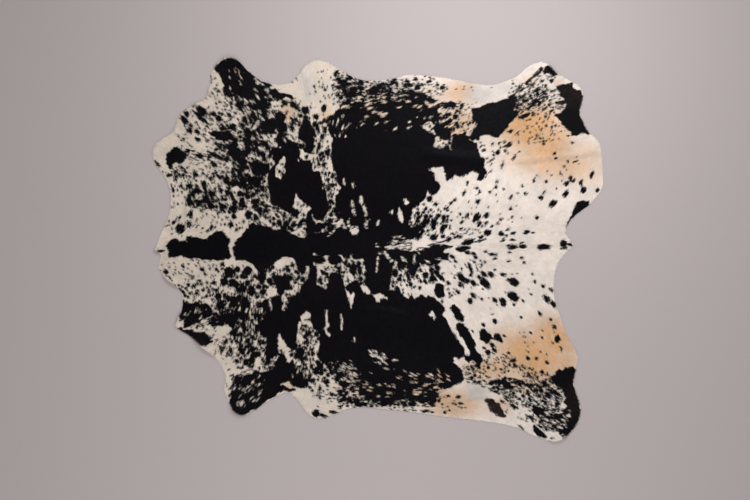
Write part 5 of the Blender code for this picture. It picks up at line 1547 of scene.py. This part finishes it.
class Shader:
    """A material's nodes, each made by one call."""

    def __init__(self, name):
        self.material = bpy.data.materials.new(name)
        self.material.use_nodes = True
        self.tree = self.material.node_tree
        self.surface = self.tree.nodes["Principled BSDF"]

    def add(self, kind, settings, sockets):
        """A node of this kind: its settings are set first, and then its sockets are filled or linked."""
        node = self.tree.nodes.new("ShaderNode" + kind)
        for name, value in settings.items():
            setattr(node, name, value)
        for name, value in sockets.items():
            self.fill(node.inputs[name], value)
        return node

    def fill(self, socket, value):
        """Links a value to a socket, or sets it there."""
        if isinstance(value, Value):
            value = value.socket
        if isinstance(value, bpy.types.NodeSocket):
            self.tree.links.new(value, socket)
        elif socket.type == "VECTOR":
            socket.default_value = value[:3]
        else:
            socket.default_value = value

    def number(self, kind, settings, sockets, output=0):
        return Value(self, self.add(kind, settings, sockets).outputs[output])

    def field(self, name):
        """A field of the coat, as stored on the mesh."""
        return self.number("Attribute", {"attribute_name": name}, {}, output="Fac")

    def grain(self, size, detail=2.0):
        """Fine noise from 0 to 1, with lumps of this size in metres."""
        place = self.add("TexCoord", {}, {}).outputs["Object"]
        return self.number("TexNoise", {}, {"Vector": place, "Scale": 1 / size, "Detail": detail})

    def blend(self, factor, one, two):
        """A colour between two colours."""
        node = self.add("Mix", {"data_type": "RGBA"}, {0: factor, 6: one, 7: two})
        return node.outputs[2]

    def tinted(self, colour, factor):
        """A colour made lighter or darker."""
        node = self.add("VectorMath", {"operation": "SCALE"}, {0: colour, "Scale": factor})
        return node.outputs[0]

    def bump(self, height, strength, distance):
        node = self.add("Bump", {}, {"Strength": strength, "Distance": distance, "Height": height})
        return node.outputs[0]

    def finish(self, **sockets):
        """Fills the surface's own sockets, and gives the material."""
        for name, value in sockets.items():
            self.fill(self.surface.inputs[name.replace("_", " ")], value)
        return self.material


def rgba(colour):
    return (*colour, 1.0)


@functools.cache
def coat_material(name, is_hair):
    """Hair, or the hair roots on the leather: pale, tan and grey, with the black over them."""
    colours = bpy.context.scene.rug_coat
    shader = Shader(name)
    shade = shader.field("shade")
    pale = shader.blend(shader.field("cream"), rgba(colours.white), rgba(colours.cream))
    pale = shader.blend(shader.field("tan"), pale, rgba(colours.tan))
    pale = shader.blend(shader.field("bare"), pale, rgba(colours.skin))
    pale = shader.tinted(pale, 0.86 + 0.28 * shade)
    dark = shader.blend(shader.field("brown"), rgba(colours.black), rgba(colours.brown))
    dark = shader.tinted(dark, 0.6 + 0.8 * shade)
    inked = shader.number(
        "MapRange", {"interpolation_type": "SMOOTHSTEP"},
        {"Value": shader.field("ink"), "From Min": INK_EDGE[0], "From Max": INK_EDGE[1]},
    )
    if is_hair:
        strand = shader.add("UVMap", {"uv_map": "Strand"}, {}).outputs[0]
        drawn_out = shader.add("Mapping", {}, {"Vector": strand, "Scale": STRAND_SCALE}).outputs[0]
        relief = shader.number("TexNoise", {}, {"Vector": drawn_out, "Scale": 1.0, "Detail": 1.0})
        normal = shader.bump(relief, 0.5, 0.5 * MM)
    else:
        relief = shader.grain(1.5 * MM)
        normal = shader.bump(relief, 0.6, 0.6 * MM)
    colour = shader.blend(inked, pale, dark)
    colour = shader.tinted(colour, 0.9 + 0.2 * relief)
    roughness = 0.52 - 0.12 * inked + 0.1 * (relief - 0.5)
    return shader.finish(
        Base_Color=colour, Roughness=roughness, Normal=normal,
        Specular_IOR_Level=HAIR_GLOSS, Diffuse_Roughness=HAIR_SOFTNESS,
    )


def flesh_material():
    """The suede of the flesh side: pale grey-buff, soft and without gloss."""
    shader = Shader("flesh_side")
    cloud = shader.grain(60 * MM, detail=3.0)
    nap = shader.grain(1.2 * MM, detail=3.0)
    colour = shader.blend(cloud, *map(rgba, FLESH_COLOURS))
    colour = shader.tinted(colour, 0.85 + 0.3 * nap)
    normal = shader.bump(nap, 0.5, 0.5 * MM)
    return shader.finish(Base_Color=colour, Roughness=0.86 + 0.1 * nap, Normal=normal)


def edge_material():
    """The cut edge of the leather, with its fibres showing."""
    shader = Shader("cut_edge")
    fibres = shader.grain(0.8 * MM, detail=3.0)
    colour = shader.blend(fibres, *map(rgba, CUT_COLOURS))
    normal = shader.bump(fibres, 0.6, 0.4 * MM)
    return shader.finish(Base_Color=colour, Roughness=0.8 + 0.1 * fibres, Normal=normal)


def floor_material():
    """Smooth matt studio paper."""
    shader = Shader("studio_paper")
    grain = shader.grain(1.5 * MM, detail=3.0)
    colour = shader.tinted(rgba(bpy.context.scene.rug_studio.floor), 0.97 + 0.06 * grain)
    return shader.finish(Base_Color=colour, Roughness=0.9, Normal=shader.bump(grain, 0.15, 0.3 * MM))


def add_lamp(name, place, aim, size):
    """A soft round lamp."""
    data = bpy.data.lights.new(name, "AREA")
    data.shape, data.size = "DISK", size
    data.energy = bpy.context.scene.rug_studio.key_power
    lamp = bpy.data.objects.new(name, data)
    lamp.location = place
    lamp.rotation_euler = (Vector(aim) - Vector(place)).to_track_quat("-Z", "Y").to_euler()
    bpy.context.scene.collection.objects.link(lamp)


def make_stage():
    """A pale floor, two soft lamps, the nearer beyond the right flank, and a camera above."""
    scene, studio = bpy.context.scene, bpy.context.scene.rug_studio
    corners = FLOOR_REACH * np.array([(-1, -1, 0), (1, -1, 0), (1, 1, 0), (-1, 1, 0)])
    mesh = mesh_of("floor", corners, np.array([(0, 1, 2), (0, 2, 3)]))
    mesh.materials.append(floor_material())
    floor = bpy.data.objects.new("floor", mesh)
    scene.collection.objects.link(floor)
    for name, lamp in LAMPS.items():
        add_lamp(name, *lamp)
    world = bpy.data.worlds.new("studio")
    world.use_nodes = True
    background = world.node_tree.nodes["Background"]
    background.inputs["Color"].default_value = (1.0, 1.0, 1.0, 1.0)
    background.inputs["Strength"].default_value = studio.fill
    scene.world = world
    scene.view_settings.view_transform = "Standard"
    camera_data = bpy.data.cameras.new("camera")
    camera_data.lens = studio.lens
    camera = bpy.data.objects.new("camera", camera_data)
    height = studio.view_width * studio.lens / camera_data.sensor_width
    camera.location = (*to_scene(*PICTURE_MIDDLE), height)
    scene.collection.objects.link(camera)
    scene.camera = camera


class RUG_OT_hide(bpy.types.Operator):
    """Makes the leather sheet"""

    bl_idname = "rug.hide"
    bl_label = "Leather"

    def execute(self, context):
        leather = make_hide()
        context.scene["rug_leather"] = leather.name
        return {"FINISHED"}


class RUG_OT_coat(bpy.types.Operator):
    bl_idname = "rug.coat"
    bl_label = "Coat"

    def execute(self, context):
        rim = cut_edge()
        area = 0.5 * abs(np.sum(rim[:, 0] * np.roll(rim[:, 1], -1) - rim[:, 1] * np.roll(rim[:, 0], -1)))
        make_coat()
        return {"FINISHED"}


class RUG_OT_stage(bpy.types.Operator):
    """Makes the floor, the lights and the camera"""

    bl_idname = "rug.stage"
    bl_label = "Studio"

    def execute(self, context):
        make_stage()
        return {"FINISHED"}


class RUG_PT_panel(bpy.types.Panel):
    """Lists the parts of the rug and the sizes behind them"""

    bl_idname = "RUG_PT_panel"
    bl_label = "Cowhide Rug"
    bl_space_type = "VIEW_3D"
    bl_region_type = "UI"
    bl_category = "Cowhide Rug"

    def draw(self, context):
        for operator, name in zip(("rug.hide", "rug.coat", "rug.stage"), SETTINGS):
            box = self.layout.box()
            box.operator(operator)
            for field in SETTINGS[name].__annotations__:
                box.prop(getattr(context.scene, name), field)


CLASSES = (*SETTINGS.values(), RUG_OT_hide, RUG_OT_coat, RUG_OT_stage, RUG_PT_panel)


def register():
    for cls in CLASSES:
        bpy.utils.register_class(cls)
    for name, settings in SETTINGS.items():
        setattr(bpy.types.Scene, name, bpy.props.PointerProperty(type=settings))


def unregister():
    for name in SETTINGS:
        delattr(bpy.types.Scene, name)
    for cls in reversed(CLASSES):
        bpy.utils.unregister_class(cls)


def main():
    register()
    bpy.ops.rug.stage()
    bpy.ops.rug.hide()
    bpy.ops.rug.coat()


if __name__ == "__main__":
    main()
